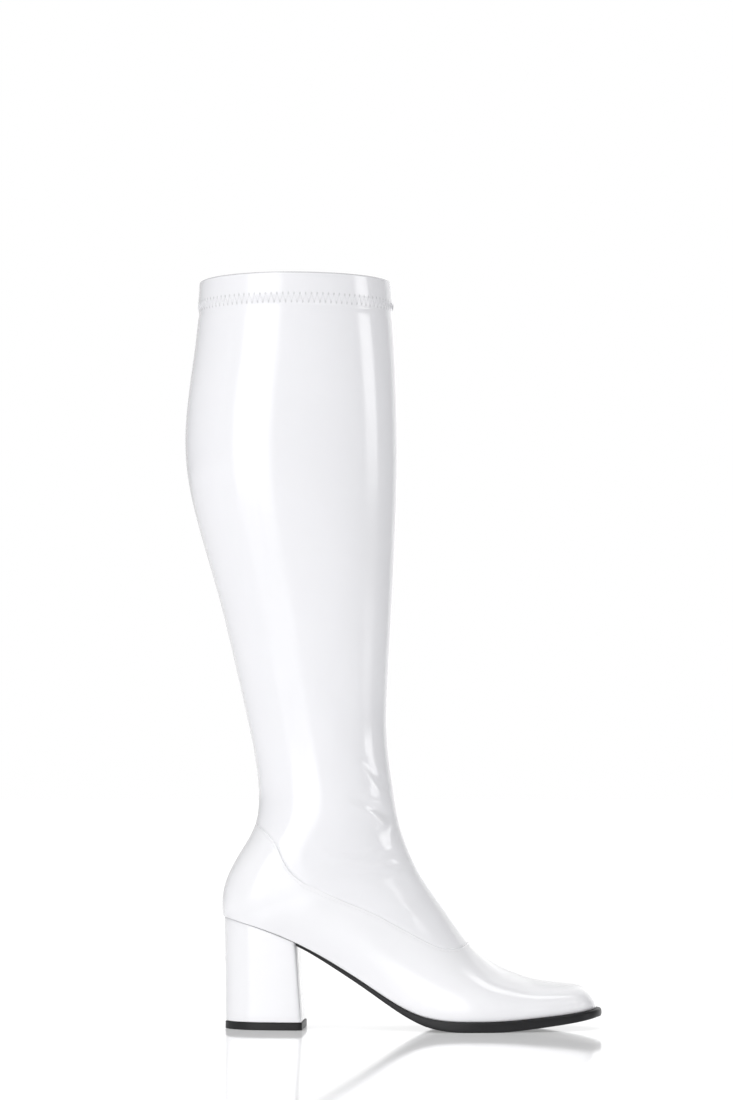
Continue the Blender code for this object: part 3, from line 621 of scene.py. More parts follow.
def patent_group():
    """Node group of the patent's faint colour drift, gloss drift and waves in the coat."""
    tree, given, made = new_group(
        "patent_skin", "ShaderNodeTree",
        (("Place", "Vector"), ("Colour", "Color"), ("Gloss", "Float"), ("Waviness", "Float")),
        (("Colour", "Color"), ("Roughness", "Float"), ("Normal", "Vector")))

    def noise(scale, detail):
        node = add_node(tree, "ShaderNodeTexNoise", {"Vector": given.outputs["Place"],
                                                     "Scale": scale, "Detail": detail})
        return node.outputs["Fac"]

    drift = add_node(tree, "ShaderNodeMapRange",
                     {"Value": noise(28, 3), "To Min": 0.975, "To Max": 1.0})
    tint = add_node(tree, "ShaderNodeVectorMath", operation="SCALE")
    plug(tree, tint, {0: given.outputs["Colour"], "Scale": drift.outputs["Result"]})
    rough = add_node(tree, "ShaderNodeMapRange",
                     {"Value": noise(60, 4), "From Min": 0.3, "From Max": 0.7,
                      "To Min": given.outputs["Gloss"], "To Max": 0.16})
    wave = add_node(tree, "ShaderNodeBump",
                    {"Height": noise(75, 1.5), "Distance": 0.001,
                     "Strength": given.outputs["Waviness"]})
    peel = add_node(tree, "ShaderNodeBump",
                    {"Height": noise(1400, 2), "Distance": 0.00004, "Strength": 0.25,
                     "Normal": wave.outputs["Normal"]})
    plug(tree, made, {"Colour": tint.outputs["Vector"], "Roughness": rough.outputs["Result"],
                      "Normal": peel.outputs["Normal"]})
    return tree


PATENT_SKIN = patent_group()


def patent(name, colour, gloss, waviness):
    """Patent leathercloth: a white base under a thick clear coat that isn't quite flat."""
    finish, tree, shader = new_finish(name)
    place = add_node(tree, "ShaderNodeTexCoord")
    layer = add_node(tree, "ShaderNodeGroup", node_tree=PATENT_SKIN)
    plug(tree, layer, {"Place": place.outputs["Object"], "Colour": (*colour, 1), "Gloss": gloss,
                       "Waviness": waviness})
    plug(tree, shader, {"IOR": 1.5, "Coat Weight": 0.6, "Coat Roughness": 0.02,
                        "Base Color": layer.outputs["Colour"],
                        "Roughness": layer.outputs["Roughness"],
                        "Normal": layer.outputs["Normal"],
                        "Coat Normal": layer.outputs["Normal"]})
    return finish


def hole_dents_and_painted_shade(finish):
    """Add the hem's dented needle holes with painted shade in them, and painted shade along its rim, by
    attributes on the hem.
    """
    tree = finish.node_tree
    shader = tree.nodes["Principled BSDF"]
    around, below_rim = (add_node(tree, "ShaderNodeAttribute", attribute_name=name).outputs["Fac"]
                         for name in ("around", "below_rim"))

    def calc(operation, *values):
        return maths(tree, operation, *values)

    # Painted shade: each needle hole is darkened in the colour, as well as dented
    holes = []
    for phase, end in ((0.0, -0.5), (0.5, 0.5)):
        turn = calc("FRACT", calc("ADD", calc("DIVIDE", around, STITCH_PITCH), phase + 0.5))
        across = calc("MULTIPLY", calc("SUBTRACT", turn, 0.5), STITCH_PITCH)
        down = calc("SUBTRACT", below_rim, ZIGZAG_DEPTH + end * ZIGZAG_WIDTH)
        down = calc("MULTIPLY", down, 0.5)
        reach = calc("SQRT", calc("ADD", calc("MULTIPLY", across, across),
                                  calc("MULTIPLY", down, down)))
        holes.append(calc("SUBTRACT", 1.0, calc("DIVIDE", reach, HOLE_RADIUS)))
    hole = calc("MAXIMUM", calc("MAXIMUM", *holes), 0.0)
    hole = calc("MINIMUM", calc("MULTIPLY", hole, 1.6), 1.0)
    # Painted shade along the rolled rim, darkest at its top edge
    rim_shade = calc("SUBTRACT", 1.0, calc("DIVIDE", below_rim, RIM_SHADE_DEPTH))
    rim_shade = calc("MULTIPLY", calc("MAXIMUM", rim_shade, 0.0), 0.9)
    shade = mixed(tree, calc("MAXIMUM", calc("MULTIPLY", hole, 0.30), rim_shade),
                  shader.inputs["Base Color"].links[0].from_socket, (0.30, 0.30, 0.31, 1))
    dent = add_node(tree, "ShaderNodeBump",
                    {"Height": hole, "Distance": 0.00025,
                     "Normal": shader.inputs["Normal"].links[0].from_socket}, invert=True)
    plug(tree, shader, {"Base Color": shade, "Normal": dent.outputs["Normal"]})


def knit(name, colour, thread):
    """Matt knitted backing or sock lining, with fine ribs of loops."""
    finish, tree, shader = new_finish(name)
    place = add_node(tree, "ShaderNodeTexCoord").outputs["Object"]
    loops = add_node(tree, "ShaderNodeTexWave", wave_type="BANDS", bands_direction="DIAGONAL")
    plug(tree, loops, {"Vector": place, "Scale": 1 / thread, "Distortion": 1.5, "Detail": 1.0})
    fuzz = add_node(tree, "ShaderNodeTexNoise", {"Vector": place, "Scale": 1.6 / thread})
    shade = mixed(tree, loops.outputs["Fac"], (*[0.80 * part for part in colour], 1),
                  (*colour, 1))
    bump = add_node(tree, "ShaderNodeBump",
                    {"Height": fuzz.outputs["Fac"], "Distance": thread / 3, "Strength": 0.6})
    plug(tree, shader, {"Roughness": 0.85, "Sheen Weight": 0.25, "Base Color": shade,
                        "Normal": bump.outputs["Normal"]})
    return finish


def hem_relief(drop):
    """How far the hem stands proud, sloping down under its zigzag, and that less the waist."""
    across = np.clip((drop - ZIGZAG_DEPTH) / ZIGZAG_WIDTH + 0.5, 0, 1)
    proud = HEM_STEP * (1 - across)
    pinch = PINCH_DEPTH * bell(drop - HEM_DEPTH - PINCH_PLACE, PINCH_WIDTH)
    return proud, proud - pinch


points, faces, fields = sew(shaft_patches())
normals = outward(points, faces)
drop = SHAFT_TOP - points[:, 2]
proud, relief = hem_relief(drop)
tucked = TUCK_SINK * (1 - smooth(near(points, seam_loop(TUCK)), 0.0013, 0.0026))
at_back = (points[:, 0] < LEG_MIDDLE) & (points[:, 2] > BACK_SEAM_END)
to_back_seam = np.where(at_back, np.abs(points[:, 1]), 1.0)
groove = BACK_SEAM_DEPTH * bell(to_back_seam, BACK_SEAM_WIDTH)
swell = ALLOWANCE_RISE * bell(to_back_seam - ALLOWANCE_PLACE, ALLOWANCE_WIDTH)
lift = relief - fields["rounding"] - tucked - groove + swell + crease_relief(points, normals)
lift = np.where(drop < LEVEL_RIM, proud - fields["rounding"] - groove, lift)
shaft_points = points + normals * lift[:, None]
shaft_points[:, 2] = np.where(drop < LEVEL_RIM, points[:, 2], shaft_points[:, 2])

stretch_patent = patent("stretch_patent", (0.83, 0.83, 0.855), 0.10, 0.05)
hole_dents_and_painted_shade(stretch_patent)
backing = knit("knitted_backing", (0.80, 0.79, 0.77), 0.0009)
half_hem = fields["around"].max()
fields["around"] *= round(half_hem / STITCH_PITCH) * STITCH_PITCH / half_hem
wall = SHAFT_WALL + proud - 2 * fields["rounding"]
solid_points, solid_faces = add_wall(shaft_points, faces, normals, wall)
shaft = add_piece("shaft_skin", solid_points, solid_faces, [stretch_patent, backing],
                  {"around": np.tile(fields["around"], 2), "below_rim": np.tile(drop, 2)})
line_inside(shaft, len(faces), SHAFT_TOP - HEM_DEPTH)
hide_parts("shaft")
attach(shaft, "root")


# Foot part: vamp and counter in one piece of patent leathercloth over a stiffener, lasted tight
# over the toe. Its edge is skived thin, turned and stitched over the shaft, and its margin is
# turned in under the insole

UPPER_WALL = 0.0018
MARGIN_WIDTH = 0.0080
SKIVED = 0.00050            # wall at the turned edge
SKIVE_START, SKIVE_END = 0.0030, 0.0080     # seam to the thin and to the full wall
TOE_ROWS = 60
EASED_ROWS = 5.0            # rows that the fold at the heel's corner is spread over
EASED_SECTIONS = 1.6        # sections on both sides of the corner that it reaches
EDGE_ROUND = 0.00030        # turned edge rounded off
EDGE_WIDTH = 0.00045
FOLD_RISE = 0.00012         # turned-in leathercloth that shows along the edge
STITCH_SINK = 0.00010       # groove drawn in by the stitches
STITCH_SINK_WIDTH = 0.0005
LOCKSTITCH_INSET = 0.0018   # edge to the row of stitches
SEAT_SPOTS = np.linspace(CORNER, LAST, 400)


def feather_point(spot, side, inset):
    """Points of the feather line, moved in towards the middle of the foot by inset."""
    step = 0.001

    def plan(spot):
        feather = side_measures(spot, side)[0]
        return np.stack([LINES["back_x"](spot), LINES["swing"](spot) + side * feather], axis=-1)

    before = plan(np.clip(spot - step, CORNER, LAST))
    after = plan(np.clip(spot + step, CORNER, LAST))
    along = after - before
    along = along / np.linalg.norm(along, axis=-1, keepdims=True)
    inward = np.stack([along[..., 1], -along[..., 0]], axis=-1) * side
    return plan(spot) + inward * np.reshape(inset, (-1, 1))


def seat_height(x):
    """Height of the feather line over the floor at a place along the foot."""
    return np.interp(x, LINES["back_x"](SEAT_SPOTS), LINES["back_z"](SEAT_SPOTS))


def seat_level(x, distance):
    """Height at a place along the foot of a sheet at a distance square to the feather line."""
    step = 0.001
    slope = (seat_height(x + step) - seat_height(x - step)) / (2 * step)
    return seat_height(x) + distance * np.sqrt(1 + slope**2)


def spot_at(x):
    """Number of the section whose feather line is at a place along the foot."""
    return np.interp(x, LINES["back_x"](SEAT_SPOTS), SEAT_SPOTS)


def eased(grid, spots, columns):
    """Grid with the fold that fans out from the corner of the heel seat eased away."""
    reach = np.arange(-9, 10)
    weights = bell(reach, EASED_ROWS)
    rows = np.clip(np.arange(len(spots))[:, None] + reach, 0, len(spots) - 1)
    soft = np.einsum("rkcx,k->rcx", grid[rows], weights / weights.sum())
    blend = bell(spots - CORNER, EASED_SECTIONS)[:, None] * smooth(columns, 0.0, 0.10)
    blend = (blend * (1 - smooth(columns, 0.93, 1.0)))[..., None]
    return grid + blend * (soft - grid)


def upper_patches():
    """Grids of the foot part's skin on both sides, and of the margin turned in under it."""
    seam_spots, seam_heights = seam_path(SEAM_ROWS)
    near_seam = seam_spots[-1] + np.array([0.02, 0.05, 0.09, 0.14, 0.20, 0.28])
    toe = np.linspace(0, 1, TOE_ROWS)[1:]
    toe = near_seam[-1] + (LAST - near_seam[-1]) * toe
    spots = np.concatenate([seam_spots, near_seam, toe])
    heights = np.concatenate([seam_heights, np.ones(len(spots) - len(seam_spots))])
    edge = np.array([0, 0.004, 0.010, 0.018, 0.030])
    columns = np.concatenate([1 - np.linspace(0.05, 1, SIDE_STEPS - len(edge))[::-1],
                              1 - edge[::-1]])
    under = spots >= CORNER - 1e-9
    patches = []
    for side in (OUTER, INNER):
        high = share_at(heights, side_measures(spots, side)[2])[:, None]
        grid = skin(np.repeat(spots[:, None], len(columns), axis=1), high * columns, side)
        grid = eased(grid, spots, columns)
        patches.append((grid, side, {}))
        turned = [grid[under, 0]]
        for inset in (0.0012, 0.0040, MARGIN_WIDTH):
            row = feather_point(spots[under], side, inset)
            turned.append(np.column_stack([row, seat_height(row[:, 0])]))
        patches.append((np.stack(turned[::-1], axis=1), side, {}))
    return patches


points, faces, _ = sew(upper_patches())
normals = outward(points, faces)
to_seam = near(points, seam_loop())
edge_round = EDGE_ROUND * np.clip(1 - to_seam / EDGE_WIDTH, 0, 1) ** 2
turned_edge = FOLD_RISE * (1 - smooth(to_seam, 0.0035, 0.0055))
stitch_groove = STITCH_SINK * bell(to_seam - LOCKSTITCH_INSET, STITCH_SINK_WIDTH)
upper_points = points + normals * (turned_edge - edge_round - stitch_groove)[:, None]
vamp_patent = patent("patent_leathercloth", (0.84, 0.84, 0.86), 0.09, 0.03)
wall = SKIVED + (UPPER_WALL - SKIVED) * smooth(to_seam, SKIVE_START, SKIVE_END)
solid_points, solid_faces = add_wall(upper_points, faces, normals, wall)
upper = add_piece("upper_skin", solid_points, solid_faces, [vamp_patent, backing])
line_inside(upper, len(faces))
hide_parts("upper")
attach(upper, "root")


# Stitching: bonded white thread. A zigzag holds the hem, and a row of lockstitch runs just inside
# the turned edge of the foot part

THREAD = 0.00028
LOCKSTITCH_PITCH = 0.0026


def smooth_mesh(name, bm):
    """Smooth mesh with its faces turned outwards, from a bmesh that is then freed."""
    bmesh.ops.recalc_face_normals(bm, faces=bm.faces[:])
    mesh = bpy.data.meshes.new(name)
    bm.to_mesh(mesh)
    bm.free()
    mesh.shade_smooth()
    return mesh


def stitch_shape(length):
    """One stitch of thread along X, arched out of the surface, with its ends pulled in."""
    bm = bmesh.new()
    rings, sides = 5, 6
    verts = []
    for ring in range(rings):
        along = ring / (rings - 1) * 2 - 1
        radius = THREAD / 2 * (1 - 0.35 * along**4)
        rise = THREAD * (0.15 - 0.9 * along**4)
        turns = [2 * np.pi * side / sides for side in range(sides)]
        verts.append([bm.verts.new((along * length / 2, radius * np.cos(turn),
                                    rise + radius * np.sin(turn))) for turn in turns])
    for first, second in zip(verts, verts[1:]):
        for side in range(sides):
            after = (side + 1) % sides
            bm.faces.new((first[side], second[side], second[after], first[after]))
    bm.faces.new(verts[0])
    bm.faces.new(verts[-1][::-1])
    return add_object("stitch", smooth_mesh("stitch", bm))


def stitch_tree():
    """Geometry nodes that lay a stitch at even steps along guide lines, leaning by turns."""
    tree, given, made = new_group(
        "stitch_row", "GeometryNodeTree",
        (("Guide", "Geometry"), ("Count", "Int"), ("Lean", "Float"), ("Stitch", "Object"),
         ("Thread", "Material")), (("Stitches", "Geometry"),))
    curve = add_node(tree, "GeometryNodeMeshToCurve", {"Mesh": given.outputs["Guide"]})
    steps = add_node(tree, "GeometryNodeResampleCurve",
                     {"Curve": curve.outputs["Curve"], "Count": given.outputs["Count"]})
    out = add_node(tree, "GeometryNodeInputNamedAttribute", {"Name": "out"},
                   data_type="FLOAT_VECTOR")
    tangent = add_node(tree, "GeometryNodeInputTangent")
    upright = add_node(tree, "FunctionNodeAlignRotationToVector",
                       {"Vector": out.outputs["Attribute"]}, axis="Z")
    facing = add_node(tree, "FunctionNodeAlignRotationToVector",
                      {"Rotation": upright.outputs["Rotation"],
                       "Vector": tangent.outputs["Tangent"]}, axis="X", pivot_axis="Z")
    index = add_node(tree, "GeometryNodeInputIndex")
    parity = maths(tree, "MODULO", index.outputs["Index"], 2)
    signed = add_node(tree, "ShaderNodeMapRange", {"Value": parity, "To Min": -1})
    lean = maths(tree, "MULTIPLY", signed.outputs["Result"], given.outputs["Lean"])
    turn = add_node(tree, "FunctionNodeAxisAngleToRotation", {"Axis": (0, 0, 1), "Angle": lean})
    rotate = add_node(tree, "FunctionNodeRotateRotation",
                      {"Rotation": facing.outputs["Rotation"],
                       "Rotate By": turn.outputs["Rotation"]}, rotation_space="LOCAL")
    shape = add_node(tree, "GeometryNodeObjectInfo", {"Object": given.outputs["Stitch"]})
    lay = add_node(tree, "GeometryNodeInstanceOnPoints",
                   {"Points": steps.outputs["Curve"], "Instance": shape.outputs["Geometry"],
                    "Rotation": rotate.outputs["Rotation"]})
    real = add_node(tree, "GeometryNodeRealizeInstances", {"Geometry": lay.outputs["Instances"]})
    thread = add_node(tree, "GeometryNodeSetMaterial",
                      {"Geometry": real.outputs["Geometry"], "Material": given.outputs["Thread"]})
    plug(tree, made, {"Stitches": thread.outputs["Geometry"]})
    return tree


STITCH_ROW = stitch_tree()


def add_stitches(name, guides, count, length, lean, finish):
    """Row of stitches along guide lines, each given as points and the directions out of them."""
    points = np.concatenate([guide[0] for guide in guides])
    outs = np.concatenate([guide[1] for guide in guides])
    edges, start = [], 0
    for line, _ in guides:
        edges += [(start + step, start + step + 1) for step in range(len(line) - 1)]
        start += len(line)
    mesh = bpy.data.meshes.new(name)
    mesh.from_pydata(points.tolist(), edges, [])
    mesh.attributes.new("out", "FLOAT_VECTOR", "POINT").data.foreach_set(
        "vector", outs.astype(np.float32).ravel())
    row = add_object(name, mesh)
    stitch = stitch_shape(length)
    rule = row.modifiers.new("stitches", "NODES")
    rule.node_group = STITCH_ROW
    values = {"Count": count, "Lean": lean, "Stitch": stitch, "Thread": finish}
    for socket in STITCH_ROW.interface.items_tree:
        if socket.in_out == "INPUT" and socket.name in values:
            rule[socket.identifier] = values[socket.name]
    evaluated = row.evaluated_get(bpy.context.evaluated_depsgraph_get())
    made = bpy.data.meshes.new_from_object(evaluated)
    row.modifiers.remove(rule)
    row.data = made
    bpy.data.objects.remove(stitch)
    return row


def on_skin(spots, shares, side, height):
    """Guide line at a height over the skin, with the directions out of it."""
    step = 0.002
    low, high = np.clip(shares - step, 0, 1), np.clip(shares + step, 0, 1)
    along = skin(np.clip(spots + step, 0, LAST), shares, side) - skin(spots - step, shares, side)
    round_it = skin(spots, high, side) - skin(spots, low, side)
    out = side * np.cross(round_it, along)
    out /= np.linalg.norm(out, axis=1, keepdims=True)
    return skin(spots, shares, side) + out * np.reshape(height, (-1, 1)), out


def bonded_thread(name, dark, light):
    """Bonded white thread, mottled along its twist."""
    finish, tree, shader = new_finish(name)
    place = add_node(tree, "ShaderNodeTexCoord")
    twist = add_node(tree, "ShaderNodeTexNoise", {"Vector": place.outputs["Object"],
                                                  "Scale": 3000})
    plug(tree, shader, {"Roughness": 0.5, "Sheen Weight": 0.3,
                        "Base Color": mixed(tree, twist.outputs["Fac"], dark, light)})
    return finish


thread_finish = bonded_thread("white_thread", (0.62, 0.62, 0.64, 1), (0.80, 0.80, 0.82, 1))
rim_spots = np.linspace(0, 1, 400)
hem_spot = float(np.interp(ZIGZAG_DEPTH, SHAFT_TOP - LINES["back_z"](rim_spots), rim_spots))
strokes = 2 * round(half_hem / STITCH_PITCH)
hem_guides = []
for side in (OUTER, INNER):
    fine = np.linspace(0, 1, 2001)
    line = on_skin(np.full(len(fine), hem_spot), fine, side, 0.0)[0]
    length = np.concatenate([[0], np.cumsum(np.linalg.norm(np.diff(line, axis=0), axis=1))])
    middle = np.interp((np.arange(strokes) + 0.5) / strokes * length[-1], length, fine)
    line, out = on_skin(np.full(strokes, hem_spot), middle, side,
                        hem_relief(ZIGZAG_DEPTH)[1])
    hem_guides.append((line, out - np.array([0, 0, HEM_STEP / ZIGZAG_WIDTH])))
stroke = float(np.hypot(ZIGZAG_WIDTH, STITCH_PITCH / 2))
lean = float(np.arctan2(ZIGZAG_WIDTH, STITCH_PITCH / 2))
hem_stitches = add_stitches("hem_stitching", hem_guides, strokes, stroke, lean, thread_finish)

edge_guides = []
for side in (OUTER, INNER):
    spots, heights = seam_path(400, LOCKSTITCH_INSET)
    shares = share_at(heights, side_measures(spots, side)[2])
    edge_guides.append(on_skin(spots[8:-4], shares[8:-4], side, 0.10 * THREAD))
edge_length = float(np.sum(np.linalg.norm(np.diff(edge_guides[0][0], axis=0), axis=1)))
edge_stitches = add_stitches("edge_stitching", edge_guides, round(edge_length / LOCKSTITCH_PITCH),
                             0.8 * LOCKSTITCH_PITCH, 0.0, thread_finish)
for row in (hem_stitches, edge_stitches):
    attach(row, "root")


# Insole: a board on the turned-in margin, covered by a knitted sock. Its own solid is shown

sock = knit("knitted_sock", (0.74, 0.72, 0.68), 0.0011)
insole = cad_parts["insole"]
insole.data.materials.clear()
insole.data.materials.append(sock)


# Outsole: one thin black moulded sole, feathered to nothing at the breast of the heel, with a
# bevelled top edge and a fine stipple on its tread

SOLE_STEPS = 150
# Edge of the sole from its top to its tread: share of the way out, share of the way down
SOLE_EDGE = ((0.00, 0.00), (0.50, 0.00), (0.74, 0.03), (0.90, 0.13), (0.98, 0.28), (1.00, 0.45),
             (1.00, 0.66), (0.96, 0.82), (0.86, 0.94), (0.70, 1.00))
SUPPORT = 0.0012            # flat rim inside the edge, above and below


def moulded_black(name, roughness, stipple):
    """Black moulded sole unit, with a fine even grain and scuffs of dust that dull it."""
    finish, tree, shader = new_finish(name)
    place = add_node(tree, "ShaderNodeTexCoord").outputs["Object"]
    grain = add_node(tree, "ShaderNodeTexNoise", {"Vector": place, "Scale": 900})
    dust = add_node(tree, "ShaderNodeTexNoise", {"Vector": place, "Scale": 45, "Detail": 6})
    rough = add_node(tree, "ShaderNodeMapRange",
                     {"Value": dust.outputs["Fac"], "To Min": roughness,
                      "To Max": roughness + 0.18})
    bump = add_node(tree, "ShaderNodeBump",
                    {"Height": grain.outputs["Fac"], "Distance": 0.0001, "Strength": stipple})
    shade = mixed(tree, dust.outputs["Fac"], (0.005, 0.005, 0.006, 1), (0.013, 0.013, 0.014, 1))
    plug(tree, shader, {"Specular IOR Level": 0.3, "Roughness": rough.outputs["Result"],
                        "Base Color": shade, "Normal": bump.outputs["Normal"]})
    return finish


def sole_rings():
    """Rings across the sole, from the breast of the heel to the toe."""
    start = spot_at(HEEL_BACK + BREAST + GAP)
    share = np.linspace(0, 1, SOLE_STEPS)
    spots = start + (LAST - start) * share
    welt, thickness = LINES["welt"](spots), LINES["sole"](spots)
    edge = [(-welt * out, down) for out, down in SOLE_EDGE]
    edge = [(edge[0][0] + SUPPORT, 0), *edge, (edge[-1][0] + SUPPORT, 1)]
    sides = []
    for side in (OUTER, INNER):
        levels = []
        for inset, down in edge:
            plan = feather_point(spots, side, inset)
            top = seat_level(plan[:, 0], -GAP)
            floor = np.maximum(top - thickness, 0)
            levels.append(np.column_stack([plan, top + down * (floor - top)]))
        sides.append(levels)
    return np.stack(sides[0] + sides[1][::-1], axis=1)


def close_rings(name, rings, finish):
    """Solid through rings of points, closed at both ends."""
    count, around = rings.shape[:2]
    bm = bmesh.new()
    verts = [[bm.verts.new(point) for point in ring] for ring in rings]
    for first, second in zip(verts, verts[1:]):
        for spot in range(around):
            after = (spot + 1) % around
            bm.faces.new((first[spot], first[after], second[after], second[spot]))
    bm.faces.new(verts[0])
    bm.faces.new(verts[-1])
    bmesh.ops.remove_doubles(bm, verts=bm.verts[:], dist=0.00002)
    mesh = smooth_mesh(name, bm)
    mesh.set_sharp_from_angle(angle=np.radians(50))
    mesh.materials.append(finish)
    return add_object(name, mesh)


sole_black = moulded_black("moulded_sole", 0.30, 0.35)
outsole = close_rings("outsole_moulding", sole_rings(), sole_black)
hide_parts("outsole")
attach(outsole, "root")


# Heel: a block wrapped in the same patent, whose edges are turned in at the top and at the lift,
# and folded round the front corners on to the breast

LIFT_THICKNESS = 0.0047
HEEL_TAPER = 0.96
HEEL_CORNER = 0.0028
COVER_ROUND = 0.0007
FOLD_WIDTH = 0.0075         # cover folded on to the breast
FOLD_GROOVE = 0.00030       # groove along the folded cover's edge
FOLD_GROOVE_WIDTH = 0.0004
# Columns of points across that groove
FOLD_STEPS = (-0.0008, -0.0003, 0, 0.0003, 0.0008)


def heel_plan(proud, steps=70, corner_steps=8):
    """Outline of the heel at the seat, from the back round the outer side to the inner side."""
    front = HEEL_BACK + BREAST + proud
    corner = HEEL_CORNER
    spots = np.linspace(CORNER, spot_at(front - corner), steps + 1)
    half = {}
    for side in (OUTER, INNER):
        points = feather_point(spots, side, HEEL_INSET - proud)
        points[:, 0] = np.minimum(points[:, 0], front - corner)
        turn = np.radians(np.linspace(0, 90, corner_steps + 1))[1:]
        base = points[-1]
        arc = np.column_stack([base[0] + corner * np.sin(turn),
                               base[1] - side * corner * (1 - np.cos(turn))])
        half[side] = np.concatenate([points, arc])
    low, high = half[OUTER][-1, 1], half[INNER][-1, 1]
    folds = [edge + step for edge in (low + FOLD_WIDTH, high - FOLD_WIDTH)
             for step in FOLD_STEPS]
    breast = sorted(folds + list(np.linspace(low, high, 14)[1:-1]))
    middle = np.column_stack([np.full(len(breast), front), breast])
    return np.concatenate([half[OUTER], middle, half[INNER][::-1][:-1]])


def heel_layers(proud, top, bottom, rounding, groove):
    """Layers of the heel from its top to its bottom; top is None where it follows the seat."""
    plan = heel_plan(proud)
    back, front = HEEL_BACK + SEAT_START + HEEL_INSET - proud, HEEL_BACK + BREAST + proud
    along = (plan[:, 0] - back) / (front - back)
    floor = np.column_stack([plan[:, 0] + HEEL_RAKE + along * (BREAST_RAKE - HEEL_RAKE),
                             plan[:, 1] * HEEL_TAPER])
    centre = np.array([(back + front) / 2, 0])
    on_breast = smooth(plan[:, 0], front - 0.0004, front)
    from_middle = np.abs(plan[:, 1])
    breast_half = from_middle[on_breast > 0.5].max()
    fold = bell(from_middle - (breast_half - FOLD_WIDTH), FOLD_GROOVE_WIDTH)
    turn = np.radians(np.linspace(0, 90, 6))
    edge = [(1 - np.sin(angle), 1 - np.cos(angle)) for angle in turn[::-1]]
    steps = [(0.0, -off, inward) for off, inward in edge]
    steps += [(share, 0.0, 0.0) for share in np.linspace(0, 1, 14)[1:-1]]
    steps += [(1.0, off, inward) for off, inward in edge[::-1]]
    layers = []
    for share, up, inward in steps:
        spread = plan + share * (floor - plan) if top is None else floor
        high = seat_level(plan[:, 0], -GAP) if top is None else np.full(len(plan), top)
        level = high + share * (bottom - high) + up * rounding
        away = spread - (centre + (HEEL_RAKE + BREAST_RAKE) / 2 * share * np.array([1, 0]))
        away /= np.linalg.norm(away, axis=1, keepdims=True)
        spread = spread - away * inward * rounding
        spread[:, 0] -= groove * fold * on_breast
        layers.append(np.column_stack([spread, level]))
    return np.stack(layers)


cover = patent("patent_cover", (0.84, 0.84, 0.86), 0.09, 0.02)
heel = close_rings("heel_cover", heel_layers(0.0, None, LIFT_THICKNESS + GAP, COVER_ROUND,
                                             FOLD_GROOVE), cover)
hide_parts("heel")
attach(heel, "root")


# Top lift: a black wearing piece pinned under the heel, a hair wider than the block

LIFT_PROUD = 0.0004
LIFT_ROUND = 0.0004

lift_black = moulded_black("moulded_lift", 0.34, 0.5)
lift_piece = close_rings("lift_moulding", heel_layers(LIFT_PROUD, LIFT_THICKNESS, 0.0, LIFT_ROUND,
                                                      0.0), lift_black)
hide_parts("top_lift")
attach(lift_piece, "root")


# Studio: a glossy white floor, an even white background, and soft lights drawn on the sky

CAMERA_DISTANCE = 2.300
CAMERA_ROUND = np.radians(3.0)          # towards the front of the boot
EYE_HEIGHT = 0.160
AIM = Vector((0.0665, 0, 0.3134))
SENSOR = 36.0
LENS = 114.05
FLOOR_REACH = 30.0

camera = add_object("camera", bpy.data.cameras.new("camera"))
rise = np.arcsin((EYE_HEIGHT - AIM.z) / CAMERA_DISTANCE)
away = Vector((np.sin(CAMERA_ROUND) * np.cos(rise), -np.cos(CAMERA_ROUND) * np.cos(rise),
               np.sin(rise)))
camera.location = AIM + away * CAMERA_DISTANCE
camera.rotation_euler = (-away).to_track_quat("-Z", "Y").to_euler()
camera.data.sensor_fit = "VERTICAL"
camera.data.sensor_height = SENSOR
camera.data.lens = LENS
bpy.context.scene.camera = camera

floor_mesh = bpy.data.meshes.new("floor")
floor_mesh.from_pydata([(side_x * FLOOR_REACH, side_y * FLOOR_REACH, 0)
                        for side_x, side_y in ((-1, -1), (1, -1), (1, 1), (-1, 1))], [],
                       [(0, 1, 2, 3)])
floor = add_object("floor", floor_mesh)
floor_finish, floor_tree, floor_shader = new_finish("white_acrylic")
plug(floor_tree, floor_shader, {"Base Color": (0.90, 0.90, 0.91, 1), "Roughness": 0.07,
                                "Specular IOR Level": 0.5, "Emission Color": (1, 1, 1, 1),
                                "Emission Strength": 0.20})
floor_mesh.materials.append(floor_finish)

# Soft lights as seen from the boot. Upright ones: degrees round from the camera towards the toe,
# half width, softness, height over the floor, half height, softness, strength
UPRIGHT_LIGHTS = (
    (-27, 16, 8, 20, 55, 20, 1.85),
    (79, 6, 6, 8, 2, 6, 2.9),
    (57, 3, 5, 37, 2, 4, 1.4),
    (152, 12, 12, 20, 50, 20, 0.7),
)
# Overhead ones: degrees up from the camera's side, half width, softness, strength
OVERHEAD_LIGHTS = (
    (88, 6, 5, 2.3),
)
OVERHEAD_SPREAD = (-0.15, 0.50, 0.15)   # middle, half length and softness of them, along the foot
# Level of the sky round the boot: degrees round from the camera, brightness
SKY = ((-180, 1.02), (-168, 0.98), (-152, 0.40), (-115, 0.25), (-75, 0.63), (-40, 0.86),
       (-10, 0.88), (18, 0.81), (40, 0.62), (65, 0.44), (110, 0.35), (150, 0.40), (168, 0.98),
       (180, 1.02))
SKY_FADE = (20, 65, 0.50)   # degrees up where the sky starts and ends fading, and its last level


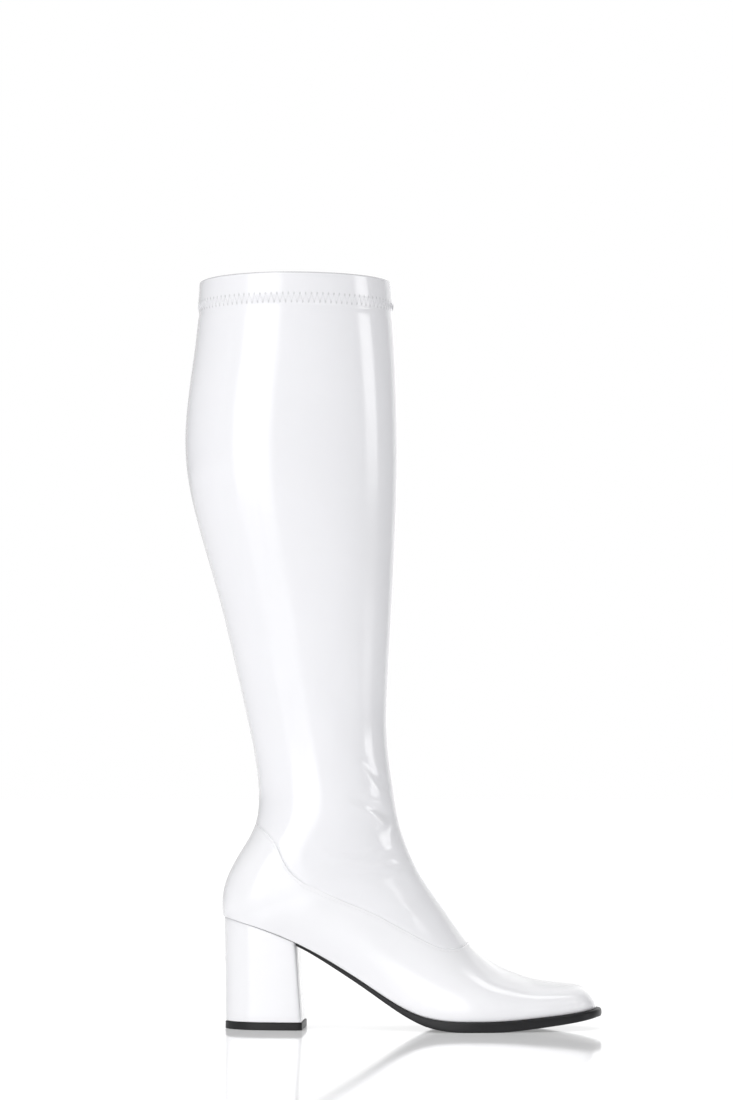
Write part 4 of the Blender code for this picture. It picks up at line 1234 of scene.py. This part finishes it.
def studio_sky():
    """World: white to the camera, and the lights and their surroundings to the boot."""
    world = bpy.data.worlds.new("studio")
    bpy.context.scene.world = world
    world.use_nodes = True
    tree = world.node_tree

    def calc(operation, *values):
        return maths(tree, operation, *values)

    def within(value, centre, half, soft):
        """1 within half of centre, falling to 0 over soft."""
        gap = calc("ABSOLUTE", calc("SUBTRACT", value, centre))
        node = add_node(tree, "ShaderNodeMapRange",
                        {"Value": gap, "From Min": half + soft, "From Max": half},
                        interpolation_type="SMOOTHSTEP")
        return node.outputs["Result"]

    def degrees(rise, run):
        return calc("MULTIPLY", calc("ARCTAN2", rise, run), 180 / np.pi)

    place = add_node(tree, "ShaderNodeTexCoord")
    split = add_node(tree, "ShaderNodeSeparateXYZ", {"Vector": place.outputs["Generated"]})
    x, y, z = (split.outputs[name] for name in "XYZ")
    toward = calc("MULTIPLY", y, -1.0)
    level = calc("SQRT", calc("ADD", calc("MULTIPLY", x, x), calc("MULTIPLY", y, y)))
    round_it, height, over = degrees(x, toward), degrees(z, level), degrees(z, toward)

    ramp = add_node(tree, "ShaderNodeValToRGB",
                    {"Fac": calc("DIVIDE", calc("ADD", round_it, 180), 360)})
    ramp.color_ramp.interpolation = "B_SPLINE"
    stops = ramp.color_ramp.elements
    while len(stops) > 1:
        stops.remove(stops[-1])
    for number, (angle, bright) in enumerate(SKY):
        stop = stops[0] if number == 0 else stops.new((angle + 180) / 360)
        stop.position = (angle + 180) / 360
        stop.color = (bright, bright, bright * 1.01, 1)
    low, high, last = SKY_FADE
    fade = add_node(tree, "ShaderNodeMapRange",
                    {"Value": height, "From Min": low, "From Max": high, "To Min": 1,
                     "To Max": last}, interpolation_type="SMOOTHSTEP")
    total = calc("MULTIPLY", ramp.outputs["Color"], fade.outputs["Result"])
    panels = [(within(round_it, angle, half, soft), within(height, middle, tall, tall_soft),
               strength) for angle, half, soft, middle, tall, tall_soft, strength in
              UPRIGHT_LIGHTS]
    panels += [(within(over, angle, half, soft), within(x, *OVERHEAD_SPREAD), strength)
               for angle, half, soft, strength in OVERHEAD_LIGHTS]
    for across, up, strength in panels:
        total = calc("ADD", total, calc("MULTIPLY", calc("MULTIPLY", across, up), strength))
    seen = add_node(tree, "ShaderNodeLightPath")
    shown = mixed(tree, seen.outputs["Is Camera Ray"], total, (1, 1, 1, 1))
    plug(tree, tree.nodes["Background"], {"Color": shown})


studio_sky()
bpy.context.scene.view_settings.view_transform = "Standard"
